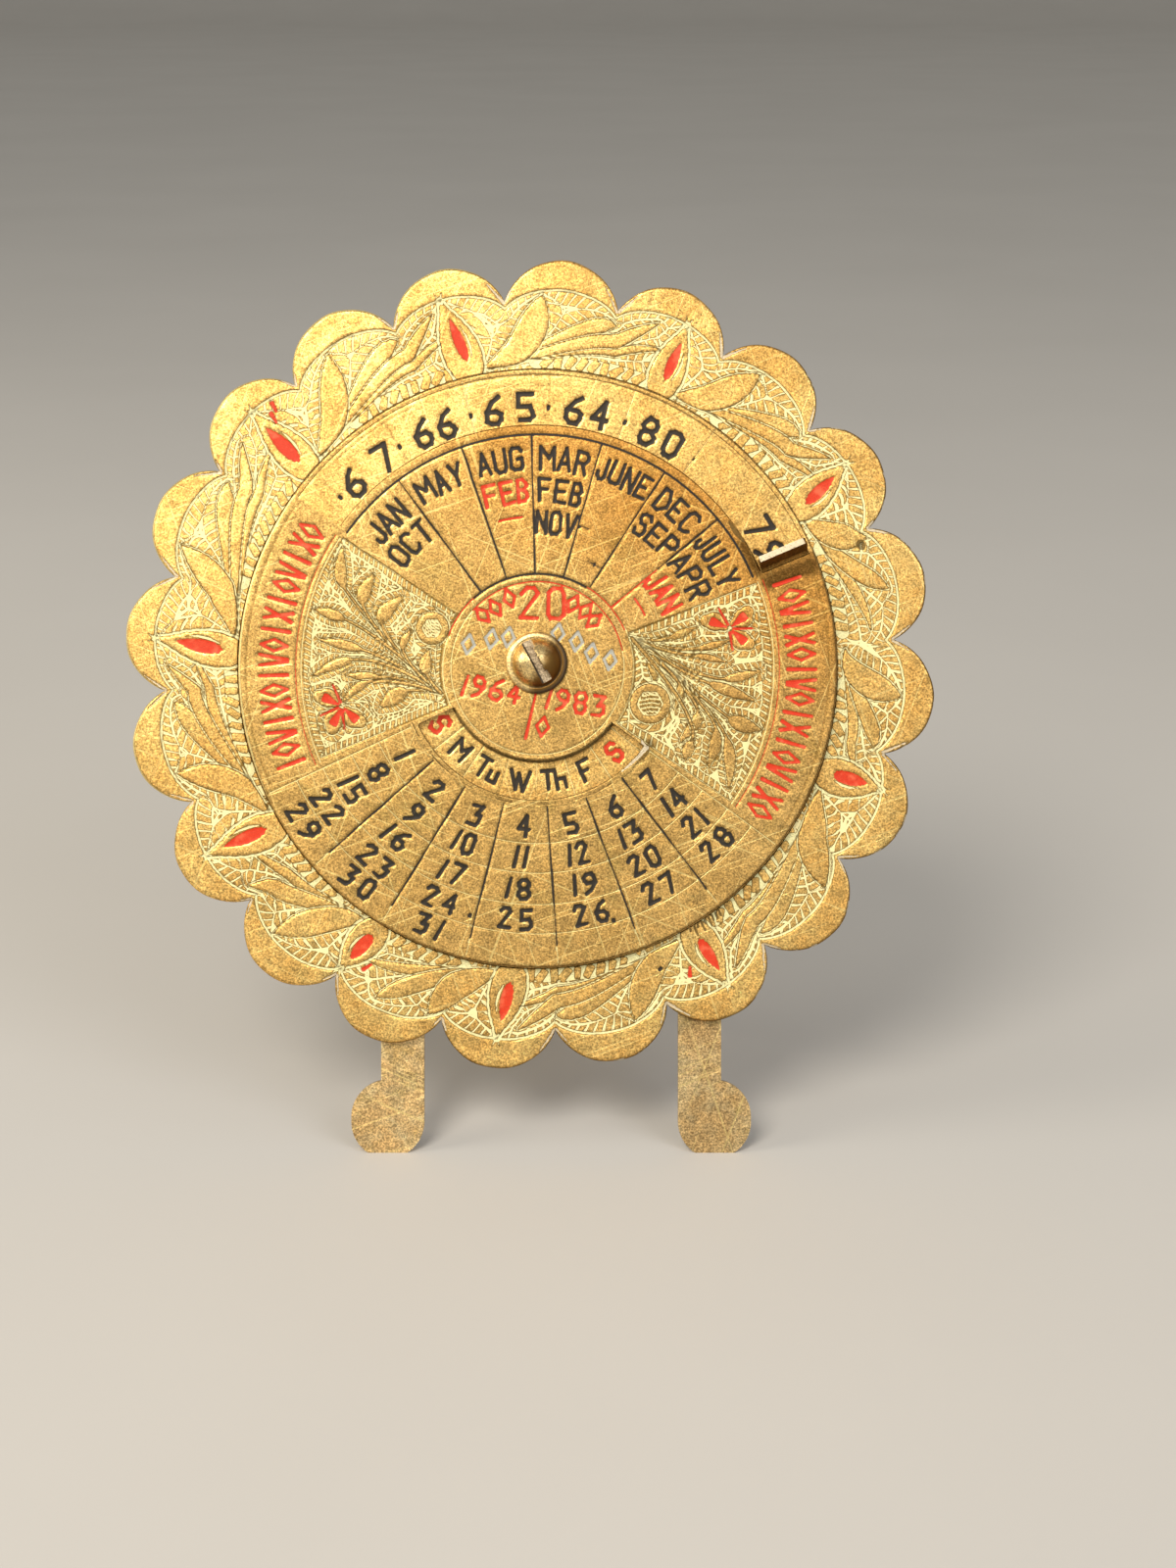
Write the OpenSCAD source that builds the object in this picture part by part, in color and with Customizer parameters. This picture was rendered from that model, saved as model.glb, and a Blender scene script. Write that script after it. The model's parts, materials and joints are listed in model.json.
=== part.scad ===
// Perpetual desk calendar: a scalloped brass plate on two front feet and a
// folding rear prop. A windowed dial turns on the centre screw, so that a
// year on the plate stands over a month, and the weekday letters of the
// plate show through the arc-shaped window above the dates.
//
// Everything on the leaning panel is drawn in panel coordinates: the pivot
// axis is z, y runs up the slope, and z = 0 is the front face of the plate.
// Clock angles run clockwise from the top of the panel, in degrees.

/* [Stance] */
// Lean of the panel back from the vertical, in degrees
lean = 20; // [12:1:26]
// Distance up the slope from the table to the pivot
pivot_rise = 55.5; // [52:0.5:66]
// Opening between the panel and the rear prop, in degrees
prop_opening = 50; // [42:1:58]

/* [Back plate] */
// Radius to the tips of the scallops
plate_r = 46; // [43:0.5:50]
// Number of scallops round the edge
scallop_count = 20; // [18:1:24]
// Radius of one scallop
scallop_r = 6.7; // [6.2:0.1:7.6]
// Thickness of the plate
plate_t = 1.2; // [0.9:0.1:2]
// Filed bevel round the front edge of the plate
plate_bevel = 0.4; // [0.1:0.05:0.6]
// Clock angle of the first scallop
scallop_start = 5; // [0:1:17]
// Pivot to the right of the outline's centre
pivot_dx = 0.9; // [-1.5:0.1:1.5]
// Pivot above the outline's centre
pivot_dy = -0.4; // [-1.5:0.1:1.5]

/* [Dial] */
// Outer radius of the dial
dial_r = 33.8; // [32:0.1:35]
// Thickness of the dial sheet
dial_t = 0.7; // [0.5:0.05:1]
// Bevel round the front edge of the dial
dial_bevel = 0.15; // [0.05:0.05:0.3]
// Radius of the dial's edge inside the year window
year_window_r = 27.5; // [26.8:0.1:28.5]
// Clock angle at which the year window starts
year_window_from = 305.5; // [302:0.5:309]
// Clock angle at which the year window ends, at the finger lip
year_window_to = 427; // [424:0.5:430]
// Inner radius of the weekday window
day_window_r0 = 10.4; // [10.3:0.1:11.5]
// Outer radius of the weekday window
day_window_r1 = 14.9; // [14:0.1:15.4]
// Clock angle at which the weekday window starts
day_window_from = 126; // [122:0.5:130]
// Clock angle at which the weekday window ends
day_window_to = 245; // [240:0.5:247]

/* [Finger lip] */
// Bend of the lip out of the dial, in degrees
lip_angle = 74; // [45:1:85]
// Inside radius of the bend
lip_bend_r = 0.5; // [0.3:0.1:1]
// Straight length of the lip beyond the bend
lip_len = 2; // [1.5:0.1:3]
// Slit between the lip's inner side and the window's edge
lip_slit = 0.4; // [0.2:0.05:0.8]
// Step from the dial's edge in to the lip's outer side
lip_inset = 0.3; // [0.3:0.05:0.6]
// Corner radius at the lip's outer tip
lip_corner_r = 0.3; // [0.2:0.1:1.2]
// Depth to which the lip's root runs back into the dial
lip_root = 0.6; // [0.4:0.1:1]
// Radius of the nick at the root of the slit
nick_r = 0.35; // [0.2:0.05:0.5]

/* [Pivot] */
// Radius of the screw's thread
thread_r = 2; // [1.5:0.1:2.2]
// Step from the thread out to the shoulder that the dial turns on
shoulder_step = 0.5; // [0.3:0.1:0.8]
// Radius of the screw head's rim
head_r = 3.3; // [3.2:0.05:4]
// Height of the screw head's rim
head_rim_h = 0.5; // [0.3:0.05:0.8]
// Step from the rim in to the dome
head_step = 0.2; // [0.1:0.05:0.3]
// Height of the dome above the rim
head_dome_h = 2.1; // [1.6:0.1:2.6]
// Width of the screwdriver slot
slot_w = 0.95; // [0.7:0.05:1.1]
// Depth of the screwdriver slot
slot_depth = 1.3; // [1:0.1:1.5]
// Tilt of the slot to the left of upright, in degrees
slot_tilt = 26.8; // [0:0.1:90]
// Thickness of the washer between plate and dial
dial_washer_t = 0.3; // [0.2:0.05:0.5]
// Radius of the washer between plate and dial
dial_washer_r = 5.5; // [5:0.1:8]
// Thickness of the flat washer behind the plate
back_washer_t = 0.8; // [0.5:0.1:1]
// Radius of the flat washer behind the plate
back_washer_r = 4.5; // [4.2:0.1:4.8]
// Thickness of the split spring washer
spring_washer_t = 0.9; // [0.6:0.1:1.2]
// Width of the split spring washer's section
spring_washer_w = 1.5; // [1.1:0.1:1.8]
// Gap in the split spring washer
spring_split = 0.6; // [0.4:0.1:1]
// Width of the nut across its flats
nut_flats = 7; // [6.4:0.1:7.4]
// Height of the nut
nut_h = 3.2; // [2.4:0.1:3.6]
// Length of thread that stands out of the nut
thread_end = 1; // [0.5:0.1:2]

/* [Front legs] */
// Width of a leg strip
leg_w = 4.9; // [4:0.1:6]
// Thickness of a leg strip
leg_t = 0.95; // [0.8:0.05:1.4]
// Distance between the centre lines of the legs
leg_spacing = 33.8; // [33.2:0.1:36]
// Middle of the legs to the right of the plate's centre
stand_dx = 2.4; // [2:0.1:3]
// Radius of the round feet
foot_r = 4.15; // [3.6:0.05:5]
// Extra length of the oval feet
foot_stretch = 0.6; // [0:0.1:1.5]
// Depth of the foot's outline below the table, filed off flat
foot_trim = 0.2; // [0.1:0.05:0.5]
// Upper leg rivets below the pivot
leg_rivet_drop = 7; // [6.6:0.1:8]
// Distance between the two rivets of a leg
leg_rivet_pitch = 8; // [6:0.5:9]

/* [Rivets] */
// Radius of a rivet's shank
rivet_r = 1; // [0.8:0.05:1.2]
// Radius of the flush head in the plate's front face
rivet_head_r = 1.5; // [1.3:0.05:1.6]
// Depth of the countersink
rivet_sink = 0.5; // [0.3:0.05:0.6]
// Radius of the domed rear head
rivet_dome_r = 1.7; // [1.5:0.05:1.9]
// Height of the domed rear head
rivet_dome_h = 0.8; // [0.5:0.05:0.9]

/* [Prop bracket] */
// Top of the bracket below the pivot
bracket_drop = 5.3; // [5.1:0.1:5.6]
// Bracket rivets below the pivot
bracket_rivet_drop = 8.2; // [8:0.1:8.4]
// Distance between the two bracket rivets
bracket_rivet_pitch = 6; // [5.4:0.1:6.4]
// Thickness of the bracket's sheet
bracket_t = 0.9; // [0.7:0.05:1.1]
// Hinge pin below the pivot
hinge_drop = 14; // [13.6:0.1:16]
// Hinge pin behind the bracket's base
hinge_standoff = 2.6; // [2.4:0.1:3]
// Radius of the bracket's ears round the pin
ear_r = 2.2; // [1.9:0.1:2.6]
// Outside radius of the bracket's folds
fold_r = 1.2; // [0.9:0.1:1.6]

/* [Hinge pin] */
// Radius of the hinge pin
pin_r = 0.9; // [0.7:0.05:1]
// Radius of the pin's peened ends
pin_head_r = 1.4; // [1.2:0.05:1.6]
// Height of the pin's peened ends
pin_head_h = 0.5; // [0.3:0.05:0.8]

/* [Rear prop] */
// Width of the prop between the ears
prop_w = 8; // [7:0.1:9]
// Thickness of the prop strip
prop_t = 1.2; // [1:0.05:1.3]
// Width of the prop below its shoulders
prop_neck_w = 5; // [4:0.1:6]
// Length of the wide part below the pin
prop_shoulder = 6; // [4:0.5:10]
// Radius of the knuckle rolled round the pin
knuckle_r = 1.6; // [1.5:0.05:1.8]
// Corner radius at the prop's top
heel_corner_r = 1; // [0.5:0.1:1.5]

/* [Fits] */
// Radial clearance of a turning fit
turning_fit = 0.05; // [0.03:0.01:0.1]
// Radial clearance of a fixed pin, rivet or thread
fixed_fit = 0.02; // [0.01:0.01:0.05]
// End play of the dial on each side
dial_play = 0.05; // [0.03:0.01:0.1]
// Side clearance of the prop in its bracket
prop_play = 0.3; // [0.1:0.05:0.5]
// Gap between the prop's heel and the bracket at rest
heel_gap = 0.02; // [0.01:0.01:0.1]

/* [Hidden] */

brass = "#b8963e";
dull_brass = "#9a8248";
bright_brass = "#cfae58";

// Facets of small and of large circles: both are true arcs in the solids.
$fn = 64;
fine = 180;
// Overshoot of cutting shapes.
eps = 0.5;
// Flats along the bend of the finger lip.
bend_steps = 14;
// Half the size of the block under the table that trims the feet.
table_block = 80;

plate_back = -plate_t;
scallop_ring_r = plate_r - scallop_r;

dial_z = dial_washer_t + dial_play;
dial_front = dial_z + dial_t;
head_z = dial_front + dial_play;
shoulder_r = thread_r + shoulder_step;

back_washer_z = plate_back - back_washer_t;
spring_washer_z = back_washer_z - spring_washer_t;
nut_z = spring_washer_z - nut_h;
screw_end = nut_z - thread_end;

// Leg centre lines, measured from the pivot.
leg_x = [
    for (side = [-1, 1]) stand_dx - pivot_dx + side * leg_spacing / 2
];
leg_rivet_y = [-leg_rivet_drop, -leg_rivet_drop - leg_rivet_pitch];

// Hinge axis of the prop, in panel coordinates and above the table.
hinge_y = -hinge_drop;
hinge_z = plate_back - bracket_t - hinge_standoff;
hinge_rise = (pivot_rise + hinge_y) * cos(lean) + hinge_z * sin(lean);
hinge_run = (pivot_rise + hinge_y) * sin(lean) - hinge_z * cos(lean);
prop_slope = prop_opening - lean;
bracket_w = prop_w + 2 * prop_play + 2 * bracket_t;

// The prop reaches the table with its rear face.
prop_len = (hinge_rise + knuckle_r * sin(prop_slope)) / cos(prop_slope)
    + foot_trim;
// The heel's front corner meets the bracket's base at the open angle.
heel_inset = knuckle_r - prop_t;
heel_len = (hinge_standoff - heel_gap + heel_inset * cos(prop_opening))
    / sin(prop_opening);

// Footprint along y: the front feet's front edge and the rearmost point.
front_y = plate_t / cos(lean);
prop_rear_y = hinge_run + hinge_rise * tan(prop_slope)
    + knuckle_r / cos(prop_slope);
plate_top = pivot_rise - pivot_dy + plate_r;
rear_y = max(prop_rear_y, plate_top * sin(lean) + plate_t * cos(lean));
middle_y = (front_y + rear_y) / 2;

// Places its children on the leaning panel, with the pivot as their z axis.
module on_panel() {
    translate([0, -middle_y, 0])
        rotate([90 - lean, 0, 0])
            translate([pivot_dx, pivot_rise, 0])
                children();
}

// Takes away what would reach below the table.
module above_table() {
    difference() {
        children();
        translate([-table_block, -table_block, -2 * table_block])
            cube(2 * table_block);
    }
}

// Turns a child that points up the panel to a clock angle.
module at_clock(angle) {
    rotate([0, 0, -angle]) children();
}

// Block of a ring between two radii and two clock angles.
module ring_block(r0, r1, from, to, z0, z1) {
    rotate([0, 0, 90 - to])
        rotate_extrude(angle = to - from, $fn = fine)
            translate([r0, z0])
                square([r1 - r0, z1 - z0]);
}

module tube(r0, r1, h) {
    difference() {
        cylinder(r = r1, h = h);
        translate([0, 0, -eps]) cylinder(r = r0, h = h + 2 * eps);
    }
}

// Disc with a bevel round its upper edge.
module bevelled_disc(r, h, bevel) {
    cylinder(r = r, h = h - bevel);
    translate([0, 0, h - bevel]) cylinder(r1 = r, r2 = r - bevel, h = bevel);
}

// Hole for a rivet from the front, with its countersink at z = 0.
module rivet_hole(depth) {
    translate([0, 0, -depth - eps])
        cylinder(r = rivet_r + fixed_fit, h = depth + 2 * eps);
    translate([0, 0, -rivet_sink])
        cylinder(
            r1 = rivet_r + fixed_fit,
            r2 = rivet_head_r + fixed_fit,
            h = rivet_sink
        );
}

// Rivet through a stack of this depth: flush in front, domed behind.
module rivet(depth) {
    dome_sphere_r = (pow(rivet_dome_r, 2) + pow(rivet_dome_h, 2))
        / (2 * rivet_dome_h);
    translate([0, 0, -depth]) cylinder(r = rivet_r, h = depth);
    translate([0, 0, -rivet_sink])
        cylinder(r1 = rivet_r, r2 = rivet_head_r, h = rivet_sink);
    translate([0, 0, -depth])
        intersection() {
            translate([0, 0, dome_sphere_r - rivet_dome_h])
                sphere(r = dome_sphere_r);
            translate([0, 0, -rivet_dome_h])
                cylinder(r = rivet_dome_r, h = rivet_dome_h);
        }
}

module at_leg_rivets() {
    for (x = leg_x, y = leg_rivet_y) translate([x, y, 0]) children();
}

module at_bracket_rivets() {
    for (side = [-1, 1])
        translate([side * bracket_rivet_pitch / 2, -bracket_rivet_drop, 0])
            children();
}

module back_plate() {
    color(brass)
        on_panel()
            difference() {
                translate([-pivot_dx, -pivot_dy, plate_back]) {
                    cylinder(
                        r = scallop_ring_r * cos(180 / scallop_count),
                        h = plate_t,
                        $fn = fine
                    );
                    for (i = [0 : scallop_count - 1])
                        at_clock(scallop_start + i * 360 / scallop_count)
                            translate([0, scallop_ring_r, 0])
                                bevelled_disc(
                                    scallop_r, plate_t, plate_bevel
                                );
                }
                translate([0, 0, plate_back - eps])
                    cylinder(
                        r = thread_r + fixed_fit, h = plate_t + 2 * eps
                    );
                at_leg_rivets() rivet_hole(plate_t);
                at_bracket_rivets() rivet_hole(plate_t);
            }
}

// Oval foot with its lowest point at y = 0 and its side at x = foot_r.
module foot_outline() {
    translate([0, foot_r]) circle(r = foot_r);
    translate([0, foot_r + foot_stretch]) circle(r = foot_r);
    translate([-foot_r, foot_r]) square([2 * foot_r, foot_stretch]);
}

// Leg strip with a round top; its foot turns out to the given side.
module leg(side, x) {
    bottom = -pivot_rise - foot_trim;
    top_centre = -leg_rivet_drop;
    color(dull_brass)
        above_table()
            on_panel()
                difference() {
                    translate([x, 0, plate_back - leg_t])
                        linear_extrude(leg_t) {
                            translate([-leg_w / 2, bottom + foot_r])
                                square([leg_w, top_centre - bottom - foot_r]);
                            translate([0, top_centre])
                                circle(r = leg_w / 2);
                            translate([side * (foot_r - leg_w / 2), bottom])
                                foot_outline();
                        }
                    at_leg_rivets()
                        translate([0, 0, plate_back - leg_t - eps])
                            cylinder(
                                r = rivet_r + fixed_fit, h = leg_t + 2 * eps
                            );
                }
}

module left_leg() { leg(-1, leg_x[0]); }

module right_leg() { leg(1, leg_x[1]); }

module leg_rivets() {
    color(dull_brass)
        on_panel()
            at_leg_rivets() rivet(plate_t + leg_t);
}

// Folded sheet: a base riveted to the plate, with an ear on either side of
// the prop. The channel section is cut to the ears' outline from the side.
module prop_bracket() {
    depth = bracket_t + hinge_standoff + ear_r;
    length = hinge_drop + ear_r - bracket_drop;
    inner_w = bracket_w - 2 * bracket_t;
    inner_r = fold_r - bracket_t;
    color(dull_brass)
        on_panel()
            difference() {
                intersection() {
                    translate([0, -bracket_drop, plate_back])
                        rotate([90, 0, 0])
                            linear_extrude(length)
                                channel_section(depth, inner_w, inner_r);
                    translate([-bracket_w / 2, 0, plate_back])
                        rotate([90, 0, 90])
                            linear_extrude(bracket_w)
                                ear_outline(depth, length);
                }
                at_bracket_rivets()
                    translate([0, 0, plate_back - bracket_t - eps])
                        cylinder(
                            r = rivet_r + fixed_fit,
                            h = bracket_t + 2 * eps
                        );
                translate([-bracket_w, hinge_y, hinge_z])
                    rotate([0, 90, 0])
                        cylinder(r = pin_r + fixed_fit, h = 2 * bracket_w);
            }
}

// U-shaped section of the bracket: x across, y towards the plate.
module channel_section(depth, inner_w, inner_r) {
    difference() {
        union() {
            translate([-bracket_w / 2, -depth])
                square([bracket_w, depth - fold_r]);
            translate([-bracket_w / 2 + fold_r, -fold_r])
                square([bracket_w - 2 * fold_r, fold_r]);
            for (side = [-1, 1])
                translate([side * (bracket_w / 2 - fold_r), -fold_r])
                    circle(r = fold_r);
        }
        translate([-inner_w / 2, -depth - eps])
            square([inner_w, depth + eps - bracket_t - inner_r]);
        translate([-inner_w / 2 + inner_r, -bracket_t - inner_r - eps])
            square([inner_w - 2 * inner_r, inner_r + eps]);
        for (side = [-1, 1])
            translate([side * (inner_w / 2 - inner_r), -fold_r])
                circle(r = inner_r);
    }
}

// Bracket seen from the side: x up the slope, y towards the plate.
module ear_outline(depth, length) {
    translate([-bracket_drop - length, -bracket_t])
        square([length, bracket_t]);
    translate([hinge_y - ear_r, -bracket_t - hinge_standoff])
        square([2 * ear_r, bracket_t + hinge_standoff]);
    translate([hinge_y, -bracket_t - hinge_standoff]) circle(r = ear_r);
}

module bracket_rivets() {
    color(dull_brass)
        on_panel()
            at_bracket_rivets() rivet(plate_t + bracket_t);
}

// Pin with peened ends just outside the ears.
module hinge_pin() {
    head_gap = fixed_fit;
    reach = bracket_w / 2 + head_gap;
    color(bright_brass)
        on_panel()
            translate([0, hinge_y, hinge_z])
                rotate([0, 90, 0]) {
                    translate([0, 0, -reach])
                        cylinder(r = pin_r, h = 2 * reach);
                    for (side = [0, 1])
                        mirror([0, 0, side])
                            translate([0, 0, reach])
                                cylinder(
                                    r1 = pin_head_r,
                                    r2 = pin_r,
                                    h = pin_head_h
                                );
                }
}

// Outline of the prop below and above the pin at the origin.
module prop_outline() {
    slope_run = (prop_w - prop_neck_w) / 2;
    translate([-prop_w / 2, -prop_shoulder])
        square([prop_w, prop_shoulder + heel_len - heel_corner_r]);
    translate([-prop_w / 2 + heel_corner_r, heel_len - heel_corner_r])
        square([prop_w - 2 * heel_corner_r, heel_corner_r]);
    for (side = [-1, 1])
        translate([
            side * (prop_w / 2 - heel_corner_r), heel_len - heel_corner_r
        ])
            circle(r = heel_corner_r);
    polygon([
        [-prop_w / 2, -prop_shoulder],
        [prop_w / 2, -prop_shoulder],
        [prop_neck_w / 2, -prop_shoulder - slope_run],
        [-prop_neck_w / 2, -prop_shoulder - slope_run]
    ]);
    translate([-prop_neck_w / 2, -prop_len + foot_r])
        square([prop_neck_w, prop_len - foot_r - prop_shoulder]);
    translate([0, -prop_len]) foot_outline();
}

// Strip rolled round the pin. Its heel runs on past the pin and stops the
// opening swing against the bracket's base.
module rear_prop() {
    color(dull_brass)
        above_table()
            on_panel()
                translate([0, hinge_y, hinge_z])
                    rotate([prop_opening, 0, 0])
                        difference() {
                            union() {
                                translate([0, 0, -knuckle_r])
                                    linear_extrude(prop_t) prop_outline();
                                translate([-prop_w / 2, 0, 0])
                                    rotate([0, 90, 0])
                                        cylinder(r = knuckle_r, h = prop_w);
                            }
                            translate([-prop_w, 0, 0])
                                rotate([0, 90, 0])
                                    cylinder(
                                        r = pin_r + turning_fit,
                                        h = 2 * prop_w
                                    );
                        }
}

module dial_washer() {
    color(bright_brass)
        on_panel()
            tube(shoulder_r + turning_fit, dial_washer_r, dial_washer_t);
}

// Tab of the dial bent forward at the end of the year window. It is drawn
// with x running out along the bend line and y into the window.
module finger_lip() {
    inner = year_window_r + lip_slit;
    outer = dial_r - lip_inset;
    bend_z = dial_t + lip_bend_r;
    run = [cos(lip_angle), sin(lip_angle)] * lip_len;
    under = bend_arc(lip_bend_r + dial_t, bend_z);
    over = bend_arc(lip_bend_r, bend_z);
    section = concat(
        [[-lip_root, 0]],
        under,
        [under[bend_steps] + run, over[bend_steps] + run],
        [for (i = [bend_steps : -1 : 0]) over[i]],
        [[-lip_root, dial_t]]
    );
    difference() {
        translate([inner, 0, 0])
            rotate([90, 0, 90])
                linear_extrude(outer - inner) polygon(section);
        translate([0, 0, bend_z])
            rotate([lip_angle, 0, 0])
                translate([
                    outer - lip_corner_r, lip_len - lip_corner_r, -bend_z - eps
                ])
                    difference() {
                        cube([
                            lip_corner_r + eps, lip_corner_r + eps,
                            dial_t + 2 * eps
                        ]);
                        cylinder(r = lip_corner_r, h = dial_t + 2 * eps);
                    }
    }
}

// Points of the lip's bend at a radius, from the flat sheet to its end.
function bend_arc(r, centre_z) = [
    for (i = [0 : bend_steps])
        let (a = lip_angle * i / bend_steps)
            [r * sin(a), centre_z - r * cos(a)]
];

module dial() {
    color(brass)
        on_panel()
            translate([0, 0, dial_z]) {
                difference() {
                    bevelled_disc(dial_r, dial_t, dial_bevel, $fn = fine);
                    translate([0, 0, -eps])
                        cylinder(
                            r = shoulder_r + turning_fit,
                            h = dial_t + 2 * eps
                        );
                    ring_block(
                        year_window_r, dial_r + eps,
                        year_window_from, year_window_to,
                        -eps, dial_t + eps
                    );
                    ring_block(
                        day_window_r0, day_window_r1,
                        day_window_from, day_window_to,
                        -eps, dial_t + eps
                    );
                    at_clock(year_window_to)
                        translate([0, year_window_r + lip_slit / 2, -eps])
                            cylinder(r = nick_r, h = dial_t + 2 * eps);
                }
                at_clock(year_window_to) rotate([0, 0, 90]) finger_lip();
            }
}

// Shouldered screw: the dial turns on the shoulder, which seats on the
// plate, and the nut behind clamps the plate alone.
module pivot_screw() {
    dome_r = head_r - head_step;
    dome_sphere_r = (pow(dome_r, 2) + pow(head_dome_h, 2))
        / (2 * head_dome_h);
    dome_z = head_z + head_rim_h;
    color(bright_brass)
        on_panel() {
            difference() {
                union() {
                    translate([0, 0, head_z])
                        cylinder(r = head_r, h = head_rim_h);
                    intersection() {
                        translate([0, 0, dome_z + head_dome_h - dome_sphere_r])
                            sphere(r = dome_sphere_r);
                        translate([0, 0, dome_z])
                            cylinder(r = dome_r, h = head_dome_h);
                    }
                }
                translate([0, 0, dome_z + head_dome_h - slot_depth])
                    rotate([0, 0, slot_tilt])
                        translate([-slot_w / 2, -head_r - eps, 0])
                            cube([slot_w, 2 * (head_r + eps), slot_depth + eps]);
            }
            cylinder(r = shoulder_r, h = head_z);
            translate([0, 0, screw_end]) cylinder(r = thread_r, h = -screw_end);
        }
}

module back_washer() {
    color(bright_brass)
        on_panel()
            translate([0, 0, back_washer_z])
                tube(thread_r + fixed_fit, back_washer_r, back_washer_t);
}

module spring_washer() {
    inner = thread_r + fixed_fit;
    color(bright_brass)
        on_panel()
            translate([0, 0, spring_washer_z])
                difference() {
                    tube(inner, inner + spring_washer_w, spring_washer_t);
                    translate([0, -spring_split / 2, -eps])
                        cube([
                            inner + spring_washer_w + eps,
                            spring_split,
                            spring_washer_t + 2 * eps
                        ]);
                }
}

// Hexagon nut with chamfered corners on both faces.
module pivot_nut() {
    corner_r = nut_flats / 2 / cos(30);
    chamfer = corner_r - nut_flats / 2;
    color(bright_brass)
        on_panel()
            translate([0, 0, nut_z])
                difference() {
                    intersection() {
                        cylinder(r = corner_r, h = nut_h, $fn = 6);
                        union() {
                            cylinder(
                                r1 = nut_flats / 2, r2 = corner_r, h = chamfer
                            );
                            translate([0, 0, chamfer])
                                cylinder(r = corner_r, h = nut_h - 2 * chamfer);
                            translate([0, 0, nut_h - chamfer])
                                cylinder(
                                    r1 = corner_r,
                                    r2 = nut_flats / 2,
                                    h = chamfer
                                );
                        }
                    }
                    translate([0, 0, -eps])
                        cylinder(r = thread_r + fixed_fit, h = nut_h + 2 * eps);
                }
}

back_plate();
left_leg();
right_leg();
leg_rivets();
prop_bracket();
bracket_rivets();
hinge_pin();
rear_prop();
dial_washer();
dial();
pivot_screw();
back_washer();
spring_washer();
pivot_nut();
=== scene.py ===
import json
import math
import random

import bpy
import numpy as np
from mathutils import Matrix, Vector


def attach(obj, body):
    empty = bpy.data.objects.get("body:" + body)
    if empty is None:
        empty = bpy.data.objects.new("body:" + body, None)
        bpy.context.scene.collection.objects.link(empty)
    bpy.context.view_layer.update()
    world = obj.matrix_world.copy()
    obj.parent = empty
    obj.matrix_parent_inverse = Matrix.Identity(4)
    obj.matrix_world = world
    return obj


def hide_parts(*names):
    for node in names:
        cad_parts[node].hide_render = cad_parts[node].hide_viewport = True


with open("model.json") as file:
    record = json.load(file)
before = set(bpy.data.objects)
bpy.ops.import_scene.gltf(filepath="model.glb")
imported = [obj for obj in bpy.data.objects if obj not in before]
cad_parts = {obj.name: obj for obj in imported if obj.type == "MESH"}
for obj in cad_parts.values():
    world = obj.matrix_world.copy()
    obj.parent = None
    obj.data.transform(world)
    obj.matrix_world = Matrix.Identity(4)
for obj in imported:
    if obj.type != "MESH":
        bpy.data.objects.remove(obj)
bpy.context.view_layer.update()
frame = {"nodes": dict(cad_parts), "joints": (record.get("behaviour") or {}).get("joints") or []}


# Studio: a pale table that curves up into a backdrop, a broad soft lamp to
# the upper left, two weaker ones at the sides, an even sky, and a camera
# square to the object's panel, which leans back.
LEAN = 20.0


def tint(code):
    """Linear colour of an sRGB hex code."""
    channels = [int(code[i:i + 2], 16) / 255 for i in (1, 3, 5)]
    return [c / 12.92 if c <= 0.04045 else ((c + 0.055) / 1.055) ** 2.4
            for c in channels] + [1.0]


def wire(tree, kind, ins=None, **settings):
    """Adds a node with its own settings, and its inputs as values or as
    outputs of other nodes to link."""
    node = tree.nodes.new("ShaderNode" + kind)
    for key, value in settings.items():
        setattr(node, key, value)
    for key, value in (ins or {}).items():
        if isinstance(value, bpy.types.NodeSocket):
            tree.links.new(value, node.inputs[key])
        else:
            node.inputs[key].default_value = value
    return node


def colour_mix(tree, share, a, b, mode="MIX"):
    """Colour a with b laid over it by share."""
    return wire(tree, "Mix", {0: share, 6: a, 7: b}, data_type="RGBA",
                blend_type=mode).outputs[2]


def noise(tree, place, scale, detail=2.0, rough=0.5, distort=0.0):
    """Unevenness about 0.5 whose grain is finer as scale is higher."""
    return wire(tree, "TexNoise", {
        "Vector": place, "Scale": scale, "Detail": detail,
        "Roughness": rough, "Distortion": distort}).outputs[0]


def new_material(name):
    """Empty node material, its tree and its Principled shader."""
    material = bpy.data.materials.new(name)
    material.use_nodes = True
    tree = material.node_tree
    return material, tree, tree.nodes["Principled BSDF"]


def add_object(name, data):
    """Object in the scene that holds a mesh, a lamp or the camera."""
    added = bpy.data.objects.new(name, data)
    bpy.context.scene.collection.objects.link(added)
    return added


def table_top():
    """Strip of pale table, in metres, that bends up behind."""
    depth_front, depth_back, width, height, bend = -7.0, 3.2, 6.0, 2.6, 0.9
    steps = 24
    profile = [(depth_front, 0.0)]
    profile += [(depth_back + bend * math.sin(math.pi / 2 * i / steps),
                 bend * (1 - math.cos(math.pi / 2 * i / steps)))
                for i in range(steps + 1)]
    profile += [(depth_back + bend, height)]
    points = [(side * width, y, z) for y, z in profile for side in (-1, 1)]
    faces = [(2 * i, 2 * i + 1, 2 * i + 3, 2 * i + 2)
             for i in range(len(profile) - 1)]
    mesh = bpy.data.meshes.new("table_top")
    mesh.from_pydata(points, [], faces)
    mesh.polygons.foreach_set("use_smooth", [True] * len(faces))
    material, tree, shader = new_material("pale_table")
    grain = noise(tree, wire(tree, "TexCoord").outputs["Object"], 9.0, 5.0)
    shade = colour_mix(tree, grain, tint("#aeaaa3"), tint("#b7b3ac"))
    tree.links.new(shade, shader.inputs["Base Color"])
    shader.inputs["Roughness"].default_value = 0.7
    mesh.materials.append(material)
    return add_object("table_top", mesh)


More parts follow.
